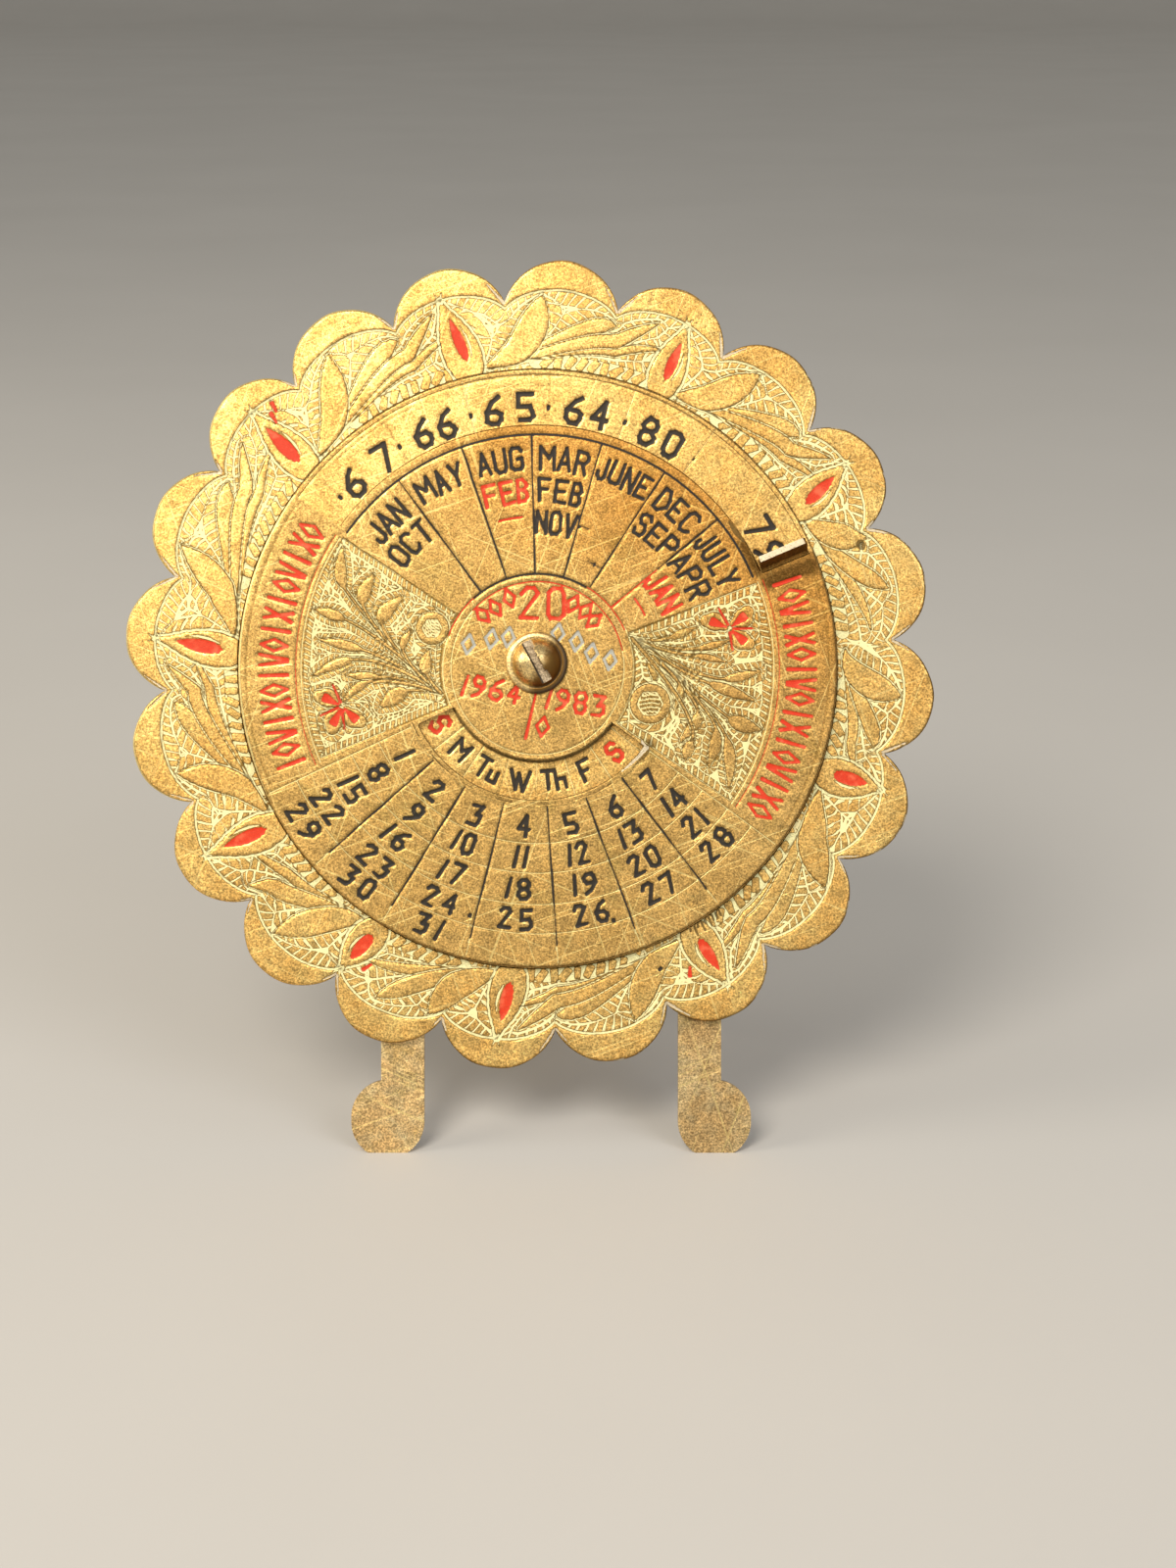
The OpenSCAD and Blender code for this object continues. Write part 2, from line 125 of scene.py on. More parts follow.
table_top()
lit_spot = Vector((0, 0, 0.05))
for name, place, size, power, warmth in (
        ("window_lamp", (-0.26, -0.50, 0.62), 0.40, 5.7, "#fff8ee"),
        ("edge_lamp", (-0.62, -0.10, 0.34), 0.30, 1.9, "#fff6e6"),
        ("fill_lamp", (0.50, -0.50, 0.45), 0.50, 2.4, "#eef3ff")):
    lamp = bpy.data.lights.new(name, "AREA")
    lamp.shape = "DISK"
    lamp.size, lamp.energy, lamp.color = size, power, tint(warmth)[:3]
    holder = add_object(name, lamp)
    holder.location = place
    holder.rotation_euler = (lit_spot - Vector(place)).to_track_quat(
        "-Z", "Y").to_euler()
sky = bpy.data.worlds.new("sky")
sky.use_nodes = True
even_light = sky.node_tree.nodes["Background"].inputs
even_light["Color"].default_value = tint("#f2f1ee")
even_light["Strength"].default_value = 0.60
bpy.context.scene.world = sky

eye = bpy.data.cameras.new("eye")
eye.lens, eye.sensor_width, eye.clip_end = 54.1, 36.0, 20.0
eye_holder = add_object("eye", eye)
eye_holder.location = (0.0066, -0.2581, 0.1312)
eye_holder.rotation_euler = (math.radians(90 - LEAN), 0, 0)
bpy.context.scene.camera = eye_holder
bpy.context.scene.view_settings.view_transform = "Standard"


# Back plate: 1.2 mm brass sheet cut to twenty scallops and filed, with a
# chased border of leaves and red seeds, and two rings of years and weekdays
# engraved by hand and filled with enamel, which show in the dial's windows.
MM = 0.001
panel_turn = next(j for j in frame["joints"] if j["name"] == "dial_turn")
pivot = np.array(panel_turn["pos_m"])
panel_out = np.array(panel_turn["axis"])
panel_side = np.array([1.0, 0.0, 0.0])
panel_up = np.cross(panel_out, panel_side)


def on_panel(x, y, z):
    """World points in metres of points in mm on the leaning panel, from the
    dial's pivot in the plate's front face."""
    x, y, z = np.broadcast_arrays(x, y, z)
    return pivot + MM * (np.outer(x, panel_side) + np.outer(y, panel_up)
                         + np.outer(z, panel_out))


def at_clock(angle, r):
    """x and y in mm at a clock angle in degrees and a radius."""
    a = np.radians(angle)
    return np.stack(np.broadcast_arrays(r * np.sin(a), r * np.cos(a)), -1)


def columns(marks, total):
    """About total clock angles round the circle, one at each mark, with a
    multiple of four steps between two marks."""
    out = []
    marks = sorted(m % 360 for m in marks)
    for a, b in zip(marks, marks[1:] + [marks[0] + 360]):
        n = max(4, 4 * round((b - a) / 360 * total / 4))
        out += [a + (b - a) * i / n for i in range(n)]
    return np.array(out)


def rows(marks, step):
    """Radii from the first mark to the last, about step apart, one at each."""
    out = [marks[0]]
    for a, b in zip(marks, marks[1:]):
        n = max(1, round((b - a) / step))
        out += [a + (b - a) * i / n for i in range(1, n)] + [b]
    return out


def sheet_side(angles, rings, lay, cut_out):
    """One side of a round sheet: rings of (radius, column step, z) laid out
    by lay, and the faces between them where nothing is cut out."""
    starts, spots, heights = [], [], []
    for r, step, z in rings:
        starts.append(sum(len(s) for s in spots))
        spots.append(lay(r, angles[::step]))
        heights.append(np.full(len(spots[-1]), z))
    total = len(angles)
    width = (np.roll(angles, -1) - angles) % 360
    faces = []
    for k, ((r0, s0, _), (r1, s1, _)) in enumerate(zip(rings, rings[1:])):
        ratio, n = s0 // s1, total // s0
        i = np.arange(n)
        middle = angles[i * s0] + width[i * s0] * s0 / 2
        cells = [starts[k] + i, starts[k] + (i + 1) % n]
        cells += [starts[k + 1] + (i * ratio + q) % (total // s1)
                  for q in range(ratio, -1, -1)]
        keep = ~cut_out((r0 + r1) / 2, middle % 360)
        faces += np.stack(cells, 1)[keep].tolist()
    return np.concatenate(spots), np.concatenate(heights), faces, starts


def uncut(r, angle):
    """Where a sheet without windows is cut out: nowhere."""
    return np.zeros(angle.shape, bool)


def sheet_blank(angles, front, back, lay, cut_out=uncut, skip=()):
    """Closed round sheet: a fine front, a plain back on some of its rings,
    given as (front ring number, z), and walls between their open edges. The
    walls from a column in skip, between two back rings, are left open."""
    spots, heights, faces, starts = sheet_side(angles, front, lay, cut_out)
    rings = [(*front[k][:2], z) for k, z in back]
    b_spots, b_heights, b_faces, b_starts = sheet_side(
        angles, rings, lay, cut_out)
    first = len(spots)
    place = {}
    for number, (k, _) in enumerate(back):
        step = front[k][1]
        for i in range(len(angles) // step):
            place[b_starts[number] + i] = (k, i * step)
    edges = set()
    for face in b_faces:
        edges.update(zip(face, face[1:] + face[:1]))
    walls = []
    for a, b in edges:
        if (b, a) in edges:
            continue
        (ka, ca), (kb, cb) = place[b], place[a]
        if (ka, kb, ca) in skip or (kb, ka, ca) in skip:
            continue
        run = range(ka, kb, 1 if kb > ka else -1)
        chain = [starts[k] + ca // front[k][1] for k in run]
        chain.append(starts[kb] + cb // front[kb][1])
        walls.append(chain + [first + a, first + b])
    faces += [[first + v for v in face[::-1]] for face in b_faces]
    return (np.concatenate([spots, b_spots]),
            np.concatenate([heights, b_heights]), faces + walls,
            len(spots), starts)


# The small unevenness of work done by hand.
hand = random.Random(11)


class Engraving:
    """Cuts in the face of a sheet: for each point, and each kind of cut, the
    distance in mm to the nearest cut's edge, below zero inside it, and REACH
    where none is near. Black, red and grey are enamel, cut and scribe are
    pale, and the scribe kind also holds painted highlight on lit edges. The
    line kind is dark, the soot kind is painted shade, bare is chipped, and
    ground is chased."""
    REACH = 1.2
    # Width over which a cut slopes, and its depth, both in mm.
    GROOVES = {"ground": (0.3, 0.03), "cut": (0.18, 0.05),
               "line": (0.12, 0.05), "scribe_and_highlight": (0.1, 0.03),
               "bare": (0.3, 0.06)}
    ENAMEL = {"black": (0.16, 0.10), "red": (0.16, 0.10),
              "grey": (0.16, 0.06)}

    def __init__(self, spots):
        self.spots = spots
        self.marks = {kind: np.full(len(spots), self.REACH)
                      for kind in (*self.GROOVES, *self.ENAMEL, "painted_shade")}
        self.rows_at = {}
        self.depth = np.ones(len(spots))
        self.corner = spots.min(0)
        cell = np.floor(spots - self.corner).astype(int)
        self.rows = cell[:, 1].max() + 1
        code = cell[:, 0] * self.rows + cell[:, 1]
        self.order = np.argsort(code, kind="stable")
        ends = np.arange((cell[:, 0].max() + 1) * self.rows + 1)
        self.bins = np.searchsorted(code[self.order], ends)

    def around(self, stroke, reach, power=2):
        """Points near a tapered stroke, given as two ends and two radii:
        their numbers, distances from its edge, places along it and swings
        round its ends. A high power makes the ends square."""
        ax, ay, bx, by, ra, rb = stroke
        pad = reach + max(ra, rb)
        x0, x1 = (int(v - self.corner[0]) for v in
                  (min(ax, bx) - pad, max(ax, bx) + pad))
        y0, y1 = (int(v - self.corner[1]) for v in
                  (min(ay, by) - pad, max(ay, by) + pad))
        y0, y1 = max(y0, 0), min(y1, self.rows - 1)
        near = [self.order[self.bins[c * self.rows + y0]:
                           self.bins[c * self.rows + y1 + 1]]
                for c in range(max(x0, 0), x1 + 1)
                if c * self.rows + y1 + 1 < len(self.bins) and y1 >= y0]
        near = np.concatenate(near) if near else np.empty(0, int)
        px, py = self.spots[near, 0] - ax, self.spots[near, 1] - ay
        size = math.hypot(bx - ax, by - ay) + 1e-9
        dx, dy = (bx - ax) / size, (by - ay) / size
        along = px * dx + py * dy
        t = np.clip(along, 0, size)
        beside = np.abs(px * dy - py * dx)
        away = (np.abs(along - t) ** power + beside ** power) ** (1 / power)
        swing = np.arctan2(along - t, beside + 1e-9)
        return near, away - (ra + t / size * (rb - ra)), t, swing

    def gap(self, strokes, reach=REACH, power=2):
        """Distance to the nearest of some tapered strokes."""
        out = np.full(len(self.spots), self.REACH)
        for stroke in strokes:
            near, d = self.around(stroke, reach, power)[:2]
            out[near] = np.minimum(out[near], d)
        return out

    def follow(self, chains, reach=3.5):
        """Makes the ground's rows of cells follow the nearest chain: keeps
        the place along it, the distance to it, and the distance to the line
        halfway to the next chain."""
        total = len(self.spots)
        first, second = np.full(total, reach), np.full(total, reach)
        place = np.zeros(total)
        ways = np.zeros((2, total, 2))
        for strokes in chains:
            own, own_place = np.full(total, reach), np.zeros(total)
            own_way = np.zeros((total, 2))
            run = hand.uniform(0, 5)
            for stroke in strokes:
                near, d, t, swing = self.around(stroke, reach)
                closer = d < own[near]
                near, t = near[closer], t[closer]
                own[near] = d[closer]
                own_place[near] = run + t + 1.2 * swing[closer]
                step = stroke[2:4] - stroke[:2]
                size = math.hypot(*step)
                run += size
                off = self.spots[near] - stroke[:2] - np.outer(
                    t / (size + 1e-9), step)
                own_way[near] = off / (np.hypot(*off.T)[:, None] + 1e-9)
            nearer = own < first
            next_best = ~nearer & (own < second)
            second = np.where(nearer, first, np.where(next_best, own, second))
            ways[1][nearer] = ways[0][nearer]
            ways[1][next_best] = own_way[next_best]
            ways[0][nearer] = own_way[nearer]
            place = np.where(nearer, own_place, place)
            first = np.where(nearer, own, first)
        apart = np.maximum(np.hypot(*(ways[1] - ways[0]).T), 0.28)
        between = np.where(second < reach, (second - first) / apart, reach)
        self.rows_at = {"along": place, "away": first, "between": between}

    def cut(self, kind, strokes, reach=0.5):
        """Adds strokes of one kind. Enamel and chips have square ends."""
        power = 6 if kind in (*self.ENAMEL, "bare") else 2
        self.marks[kind] = np.minimum(self.marks[kind],
                                      self.gap(strokes, reach, power))

    def islands(self, strokes):
        """Little cells left standing in ground that is cut away."""
        d = self.gap(strokes, power=7)
        m = self.marks
        for kind in ("cut", "ground"):
            m[kind] = np.maximum(m[kind], 0.04 - d)
        m["line"] = np.minimum(m["line"], np.abs(d) - 0.035)

    def blade(self, strokes, pale=0.07):
        """A smooth leaf left standing in the cut ground: its outline is a
        fine dark line with a pale cut round it."""
        outline = 0.06
        d = self.gap(strokes)
        m = self.marks
        for kind in ("cut", "line", "red", "ground"):
            m[kind] = np.maximum(m[kind], 0.05 - d)
        m["line"] = np.minimum(m["line"], np.abs(d) - outline)
        m["cut"] = np.minimum(m["cut"], np.abs(d - outline - pale) - pale)

    def relief(self):
        """Height in mm of each point of the cut face."""
        def groove(kind, width, depth):
            share = np.clip(0.5 - self.marks[kind] / width, 0, 1)
            return -depth * share * share * (3 - 2 * share)
        plain = sum(groove(kind, *size)
                    for kind, size in self.GROOVES.items())
        enamel = np.min([groove(kind, *size)
                         for kind, size in self.ENAMEL.items()], axis=0)
        return self.depth * (plain + enamel)


def chain(points, radii):
    """Tapered strokes through points."""
    points = np.asarray(points, float)
    radii = np.broadcast_to(radii, len(points))
    return np.column_stack([points[:-1], points[1:], radii[:-1], radii[1:]])


def arc(r, start, end, radius):
    """Strokes of about two degrees round a circle, between clock angles."""
    n = max(2, int(abs(end - start) / 2))
    return chain(at_clock(np.linspace(start, end, n), r), radius)


def spoke(angle, r0, r1, radius):
    """Stroke along a clock angle from one radius to another."""
    return chain(at_clock([angle, angle], [r0, r1]), radius)


def bent(p0, p1, p2, n):
    """Some points of a curve from p0 to p2 that bends towards p1."""
    t = np.linspace(0, 1, n)[:, None]
    p0, p1, p2 = (np.asarray(p, float) for p in (p0, p1, p2))
    return (1 - t) ** 2 * p0 + 2 * t * (1 - t) * p1 + t ** 2 * p2


def leaf_widths(n, width, belly):
    """Half widths of a leaf from its stem to its point. It is widest at the
    belly, given as a share of its length."""
    t = np.linspace(0, 1, n)
    bulge = np.where(t < belly, np.sin(math.pi / 2 * t / belly),
                     np.cos(math.pi / 2 * (t - belly) / (1 - belly)) ** 0.8)
    return np.maximum(width * bulge, 0.06)


# Each figure's strokes, through points of two digits: x, and y out of six.
FIGURES = {
    "0": "10 01 05 16 36 45 41 30 10", "1": "00 16", "2": "05 16 36 45 00 40",
    "3": "06 46 23 43 41 30 00", "4": "30 36 02 42",
    "5": "46 06 03 33 42 41 30 00", "6": "46 25 03 01 10 30 41 42 33 03",
    "7": "06 46 10", "8": "13 04 05 16 36 45 44 33 13 02 01 10 30 41 42 33",
    "9": "00 21 43 45 36 16 05 04 13 43", "A": "00 26 40|12 32",
    "B": "00 06 26 35 34 23 03|23 32 31 20 00", "C": "45 36 16 05 01 10 30 41",
    "D": "00 06 26 44 42 20 00", "E": "40 00 06 46|03 33",
    "F": "00 06 46|03 33",
    "G": "45 36 16 05 01 10 30 41 43 23", "H": "00 06|40 46|03 43",
    "J": "02 01 10 20 31 36", "L": "06 00 40", "M": "00 06 33 56 50",
    "N": "00 06 40 46", "O": "10 01 05 16 36 45 41 30 10",
    "P": "00 06 36 45 44 33 03", "R": "00 06 36 45 44 33 03|23 40",
    "S": "45 36 16 05 04 13 33 42 41 30 10 01", "T": "06 46|26 20",
    "U": "06 01 10 30 41 46", "V": "06 20 46", "W": "06 20 35 50 76",
    "Y": "06 23 46|23 20", "h": "00 06|03 33 30", "u": "03 00 30 33",
}


def figures(text, angle, r, height, weight, outward=True, gap=2.0, room=None,
            slim=0.8, about=(0.0, 0.0)):
    """Strokes of plain figures along an arc about a point, cut unevenly."""
    scale = height / 6
    shapes = [[[(int(p[0]), int(p[1])) for p in line.split()]
               for line in FIGURES[c].split("|")] for c in text]
    widths = [max(x for line in s for x, _ in line) for s in shapes]
    total = slim * sum(widths) + gap * (len(text) - 1)
    squeeze = min(1.0, room / (total * scale)) if room else 1.0
    way = 1 if outward else -1
    out, x = [], -total / 2
    for shape, width in zip(shapes, widths):
        a = angle + way * math.degrees(
            (x + slim * width / 2) * scale * squeeze / r)
        a_rad = math.radians(a + hand.uniform(-2, 2))
        side = way * np.array([math.cos(a_rad), -math.sin(a_rad)])
        up = way * np.array([math.sin(a_rad), math.cos(a_rad)])
        centre = at_clock(a, r + hand.uniform(-0.08, 0.08)) + about
        for line in shape:
            points = [centre
                      + side * ((px - width / 2) * slim * squeeze
                                + hand.uniform(-0.2, 0.2)) * scale
                      + up * (py - 3 + hand.uniform(-0.2, 0.2)) * scale
                      for px, py in line]
            for p, q in zip(points, points[1:]):
                flare = hand.uniform(0.8, 1.1)
                out.append([*p, *q, weight * 1.08, weight * flare])
        x += slim * width + gap
    return out


PLATE_R, SCALLOPS, SCALLOP_R, SCALLOP_START = 46.0, 20, 6.7, 5.0
SCALLOP_STEP = 360 / SCALLOPS
NOTCHES = [SCALLOP_START + SCALLOP_STEP * (k + 0.5) for k in range(SCALLOPS)]
PLATE_T, PLATE_BEVEL = 1.2, 0.4
PLATE_CENTRE = np.array([-0.9, 0.4])
BORDER_R, RING_R, HUB_R, SCREW_HOLE_R = 33.95, 27.2, 10.1, 2.02
YEARS_R, DAYS_R, DAYS_EDGE = 29.6, 12.75, 15.3
FIRST_YEAR, FIRST_DAY, RING_STEP = 319.5, 189.0, 360 / 21


def scallop_edge(angle):
    """Radius of the scalloped outline from the plate's centre."""
    half = SCALLOP_STEP / 2
    turn = np.radians((angle - SCALLOP_START + half) % SCALLOP_STEP - half)
    ring = PLATE_R - SCALLOP_R
    edge = ring * np.cos(turn) + np.sqrt(
        SCALLOP_R ** 2 - (ring * np.sin(turn)) ** 2)
    a = np.radians(angle)
    return edge + 0.05 * np.sin(7 * a + 1) + 0.04 * np.sin(23 * a) + (
        0.03 * np.sin(61 * a + 2))


def border_wave(angle):
    """Radius of the wavy line between the chased leaves and the plain rim."""
    return 40.5 + 0.46 * (scallop_edge(angle) - 41.5)


def border_spot(angle, share):
    """Point of the border: share 0 beside the dial and 1 on the wavy line."""
    inner = at_clock(angle, 35.3)
    outer = PLATE_CENTRE + at_clock(angle, border_wave(angle))
    share = np.asarray(share, float)[..., None]
    return (1 - share) * inner + share * outer


def border_layout():
    """Strokes of the border's leaves, seeds and cells, in working order."""
    seeds = [23.5, 58.5, 110, 149.5, 185, 212, 239, 273, 311, 347]
    stops = sorted(seeds + [84.5])  # leaves fan out there without a seed
    cup_shape = np.array([0.62, 0.88, 1, 0.98, 0.86, 0.68, 0.45, 0.22, 0.05])
    seed_shape = np.array([0.12, 0.66, 0.92, 1, 0.88, 0.66, 0.38, 0.05])
    blades, cups, reds, glints, beads, strips = [], [], [], [], [], []

    def off(amount):
        """A little more or less."""
        return hand.uniform(-amount, amount)

    def leaf(a, span, path, width, belly):
        """Adds a leaf whose path is given in shares of the span and of the
        border's width."""
        way = bent(*path, 17)
        angles = a + span * way[:, 0]
        blades.append(chain(border_spot(angles, way[:, 1]),
                            leaf_widths(17, width, belly)))

    for a, b in zip(stops, stops[1:] + [stops[0] + 360]):
        span = b - a
        wide = 0.72 + 0.28 * min(1.2, span / 36)
        leaf(a, span, ((0.10, -0.13), (0.52, 0.10 + off(0.02)),
                       (0.97, 0.46 + off(0.04))), 0.60 * wide, 0.6)
        leaf(a, span, ((0.09, -0.10), (0.50 + off(0.03), 0.10),
                       (0.74, 0.84)), (1.00 + off(0.1)) * wide, 0.76)
        if span > 33:
            leaf(a, span, ((0.09, -0.10), (0.62, 0.12 + off(0.04)),
                           (0.90 + off(0.02), 0.84)), 0.72 * wide, 0.74)
        leaf(a, span, ((0.07, -0.08), (0.31 + off(0.03), 0.0),
                       (0.42 + off(0.03), 0.93)),
             (1.60 + off(0.15)) * wide, 0.68)
        start, end = a + 0.40 * span, a + 0.95 * span
        for g in np.arange(start, end, 2.2):
            slant = 0.35 + off(0.35)
            beads.append(chain(
                at_clock([g - slant / 2, g + slant], [34.5, 35.1]),
                [0.42 + off(0.06), 0.38 + off(0.06)]))
        strips.append(arc(34.8, start - 2, end, 0.75))
    for a in seeds:
        lean = off(1.6)
        cups.append(chain(
            border_spot(a + lean * np.linspace(0, 1, 9),
                        np.linspace(-0.16, 0.99, 9)),
            (2.0 + off(0.12)) * cup_shape))
        shift = off(0.4)
        reds.append(chain(
            border_spot(a + shift + lean * np.linspace(0.15, 0.8, 8),
                        np.linspace(0.06, 0.72, 8)),
            (0.70 + off(0.1)) * seed_shape))
        glints.append(chain(
            border_spot(a + shift + 1.55 + lean * np.linspace(0.2, 0.7, 4)
                        - 0.5 * np.linspace(-1, 1, 4) ** 2,
                        np.linspace(0.10, 0.58, 4)), [0.05, 0.15, 0.12, 0.04]))
    # Drops of red beside three of the seeds.
    for a, share in ((149.5 + 3.1, 0.5), (212 - 3.3, 0.55), (311 + 2.6, 0.74),
                     (311 + 3.9, 0.86)):
        reds.append(chain(
            border_spot(np.array([a, a + 0.5]),
                        np.array([share - 0.07, share + 0.07])),
            [0.16, 0.26]))
    wave_a = np.linspace(0, 360, 541)
    wave = chain(PLATE_CENTRE + at_clock(wave_a, border_wave(wave_a)), 0.13)
    return blades, cups, reds, glints, wave, beads, strips


def edge_wear(work, inset, turn):
    """Paints a highlight on a sheet's edge at the upper left, where the light
    falls, and painted shade on it at the lower right. inset is the distance
    in from the edge, turn the angle."""
    lit = np.cos(np.radians(turn - 300))
    m = work.marks
    # Painted highlight: a pale band along the edge where it faces the light.
    m["scribe_and_highlight"] = np.minimum(m["scribe_and_highlight"],
                             inset - 0.24 + np.clip(0.7 - lit, 0, 1))
    # Painted shade: a dark band along the edge turned from the light.
    m["painted_shade"] = np.minimum(m["painted_shade"],
                           2.5 * inset - 0.2 + np.clip(1.2 * lit + 0.4, 0, 2))


def chip_edge(work):
    """Nicks beside the notches between the scallops, and a few elsewhere."""
    chips = []
    for notch in NOTCHES:
        for way in (-1, 1):
            a = notch + way * np.array([0.1, hand.uniform(0.9, 2.6)])
            r = scallop_edge(a) - hand.uniform(0.25, 0.5)
            chips.append(chain(PLATE_CENTRE + at_clock(a, r),
                               [hand.uniform(0.10, 0.22), 0.05]))
    for _ in range(26):
        a = hand.uniform(35, 175) + np.array([0, hand.uniform(0.3, 1.6)])
        chips.append(chain(PLATE_CENTRE + at_clock(a, scallop_edge(a) - 0.06),
                           [hand.uniform(0.05, 0.15), 0.04]))
    work.cut("bare", np.concatenate(chips))


def mark_border(work):
    """A stain, a pit, nicks beside the dial and three rows of fine dots."""
    stain = at_clock(68.8, 39.2)
    work.cut("line", chain([stain, stain + [0.2, -0.3]], 0.45))
    pit = at_clock(157.9, 36.8)
    work.cut("black", chain([pit, pit + [0.1, 0.1]], 0.22))
    for k in range(9):
        nick = at_clock(np.array([143.2, 143.4]) + 0.8 * k,
                        [34.2, 34.9 + 0.5 * math.sin(3 * k)])
        work.cut("line", chain(nick, 0.14))
    for row in range(3):
        for k in range(10):
            spot = PLATE_CENTRE + at_clock(15.5 + 1.5 * k, 44.2 - 0.55 * row)
            work.cut("line", chain([spot, spot + [0.05, 0]], 0.10))


def chase_border(work):
    """Cuts the whole border into an Engraving."""
    blades, cups, reds, glints, wave, beads, strips = border_layout()
    off = work.spots - PLATE_CENTRE
    turn = np.degrees(np.arctan2(off[:, 0], off[:, 1]))
    out = np.hypot(off[:, 0], off[:, 1])
    work.marks["ground"] = -np.minimum(border_wave(turn) - out,
                                       np.hypot(*work.spots.T) - 34.05)
    work.follow(blades + cups + strips + [wave])
    beside_dial = work.gap(np.concatenate(strips))
    work.marks["cut"] = beside_dial
    work.islands(np.concatenate(beads))
    work.depth = np.clip(0.5 + beside_dial / 0.3, 0.3, 1)
    work.cut("cut", wave)
    rim = work.gap(wave)
    work.marks["line"] = np.minimum(work.marks["line"], np.abs(rim) - 0.03)
    for strokes in blades:
        work.blade(strokes)
    chip_edge(work)
    for cup in cups:
        work.blade(cup, 0.14)
        tip = cup[-1, 2:4]
        way = tip / np.hypot(*tip)
        for lean in (-0.5, 0.45):
            heading = way + lean * np.array([way[1], -way[0]])
            work.cut("cut", chain([tip - 0.4 * heading, tip + 0.9 * heading],
                                  [0.12, 0.05]))
    for glint in glints:
        work.cut("cut", glint)
    for red in reds:
        work.cut("red", red)
    mark_border(work)
    edge_wear(work, scallop_edge(turn) - out, turn)


def engrave_rings(work):
    """Cuts the ring of years and the ring of weekdays into an Engraving."""
    years = ["67", "66", "65", "64", "80", "", "79", "78", "77", "76", "81",
             "75", "74", "73", "72", "83", "71", "70", "69", "68", ""]
    spread = {"67": 6.3, "66": 2.9, "65": 4.6}
    for k, year in enumerate(years):
        a = FIRST_YEAR + k * RING_STEP
        if year == "71":
            for small, shift in ((year, -3.6), ("82", 4.2)):
                work.cut("black", figures(small, a + shift, YEARS_R + 0.05,
                                          2.2, 0.20, gap=1.2))
        elif year:
            shift = 1.7 if year == "79" else 0.0
            work.cut("black", figures(year, a - shift, YEARS_R, 2.9, 0.26,
                                      gap=spread.get(year, 3.1)))
        work.cut("scribe_and_highlight", spoke(a + RING_STEP / 2, 27.3, 33.7, 0.06))
        if k not in (5, 19):
            work.cut("black", spoke(a + RING_STEP / 2, 29.5, 29.7,
                                    0.12 if k == 4 else 0.22))
    for r in (27.45, 33.4):
        work.cut("line", arc(r, 0, 360, 0.05))
    # Painted shadow: a dark ring on the plate along the weekday window's inner edge, where the
    # dial's edge shades it.
    work.cut("line", arc(10.5, 0, 360, 0.16))
    for k in range(26):
        a = hand.uniform(-52, 58)
        work.cut("line", arc(hand.uniform(31.6, 33.8), a,
                             a + hand.uniform(5, 22), 0.015))
    days = ["S", "M", "Tu", "W", "Th", "F", "S"]
    for k in range(21):
        day = days[(k + 3) % 7]
        a = FIRST_DAY - k * RING_STEP
        red = (k + 3) % 7 in (0, 6)
        work.cut("red" if red else "black",
                 figures(day, a, DAYS_R, 2.15, 0.22, outward=False, gap=1.0,
                         room=2.9, slim=0.85))
        work.cut("scribe_and_highlight", spoke(a + RING_STEP / 2, 10.2, 15.2, 0.07))


def make_piece(name, body, points, faces, material, marks, sharp=None):
    """Mesh object on a body, with its cuts as attributes. sharp holds the
    pairs of points whose edges stay crisp."""
    mesh = bpy.data.meshes.new(name)
    mesh.from_pydata(points.tolist(), [], faces)
    mesh.polygons.foreach_set("use_smooth", np.ones(len(faces), bool))
    for key, values in marks.items():
        layer = mesh.attributes.new(key, "FLOAT", "POINT")
        layer.data.foreach_set("value", values.astype(np.float32))
    if sharp is not None:
        ends = np.zeros(2 * len(mesh.edges), int)
        mesh.edges.foreach_get("vertices", ends)
        ends = np.sort(ends.reshape(-1, 2), 1)
        codes = ends[:, 0] * len(points) + ends[:, 1]
        pairs = np.sort(np.array(sorted(sharp)), 1)
        crisp = np.isin(codes, pairs[:, 0] * len(points) + pairs[:, 1])
        layer = mesh.attributes.new("sharp_edge", "BOOLEAN", "EDGE")
        layer.data.foreach_set("value", crisp)
    mesh.materials.append(material)
    piece = add_object(name, mesh)
    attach(piece, body)
    return piece


def wall_edges(faces, front):
    """Edges along the walls between a sheet's front, which has the points
    numbered below front, and its back. They are the sheet's corners."""
    corners = {}
    for face in faces:
        if min(face) < front <= max(face):
            for a, b in zip(face, face[1:] + face[:1]):
                if (a < front) == (b < front):
                    corners[(min(a, b), max(a, b))] = True
    return list(corners)


def finish_marks(work, total):
    """The cuts of the front's points, and none on the others."""
    out = {}
    for kind, values in (work.marks | work.rows_at).items():
        out[kind] = np.concatenate([
            values, np.full(total - len(values), Engraving.REACH)])
    return out


def buckle(spots):
    """The slight unevenness in mm of sheet flattened by hand."""
    x, y = spots[:, 0], spots[:, 1]
    return 0.018 * (np.sin(0.31 * x + 0.12 * y + 1) + np.sin(
        0.22 * y - 0.17 * x) + 0.5 * np.sin(0.63 * x + 0.5 * y + 2))


def sum_of(tree, operation, *values):
    """Output of one Math node."""
    return wire(tree, "Math", dict(enumerate(values)),
                operation=operation).outputs[0]


def ramp(tree, value, low, high, to_low=0.0, to_high=1.0):
    """Output that goes smoothly from to_low to to_high as value goes from
    low to high."""
    return wire(tree, "MapRange", {
        "Value": value, "From Min": low, "From Max": high,
        "To Min": to_low, "To Max": to_high,
    }, interpolation_type="SMOOTHSTEP").outputs[0]


def blend(tree, share, a, b):
    """Value a with b laid over it by share."""
    return wire(tree, "Mix", {0: share, 2: a, 3: b}).outputs[0]


def grey_of(tree, value):
    """Colour whose three channels are one value."""
    return wire(tree, "CombineColor", dict.fromkeys(range(3), value)
                ).outputs[0]


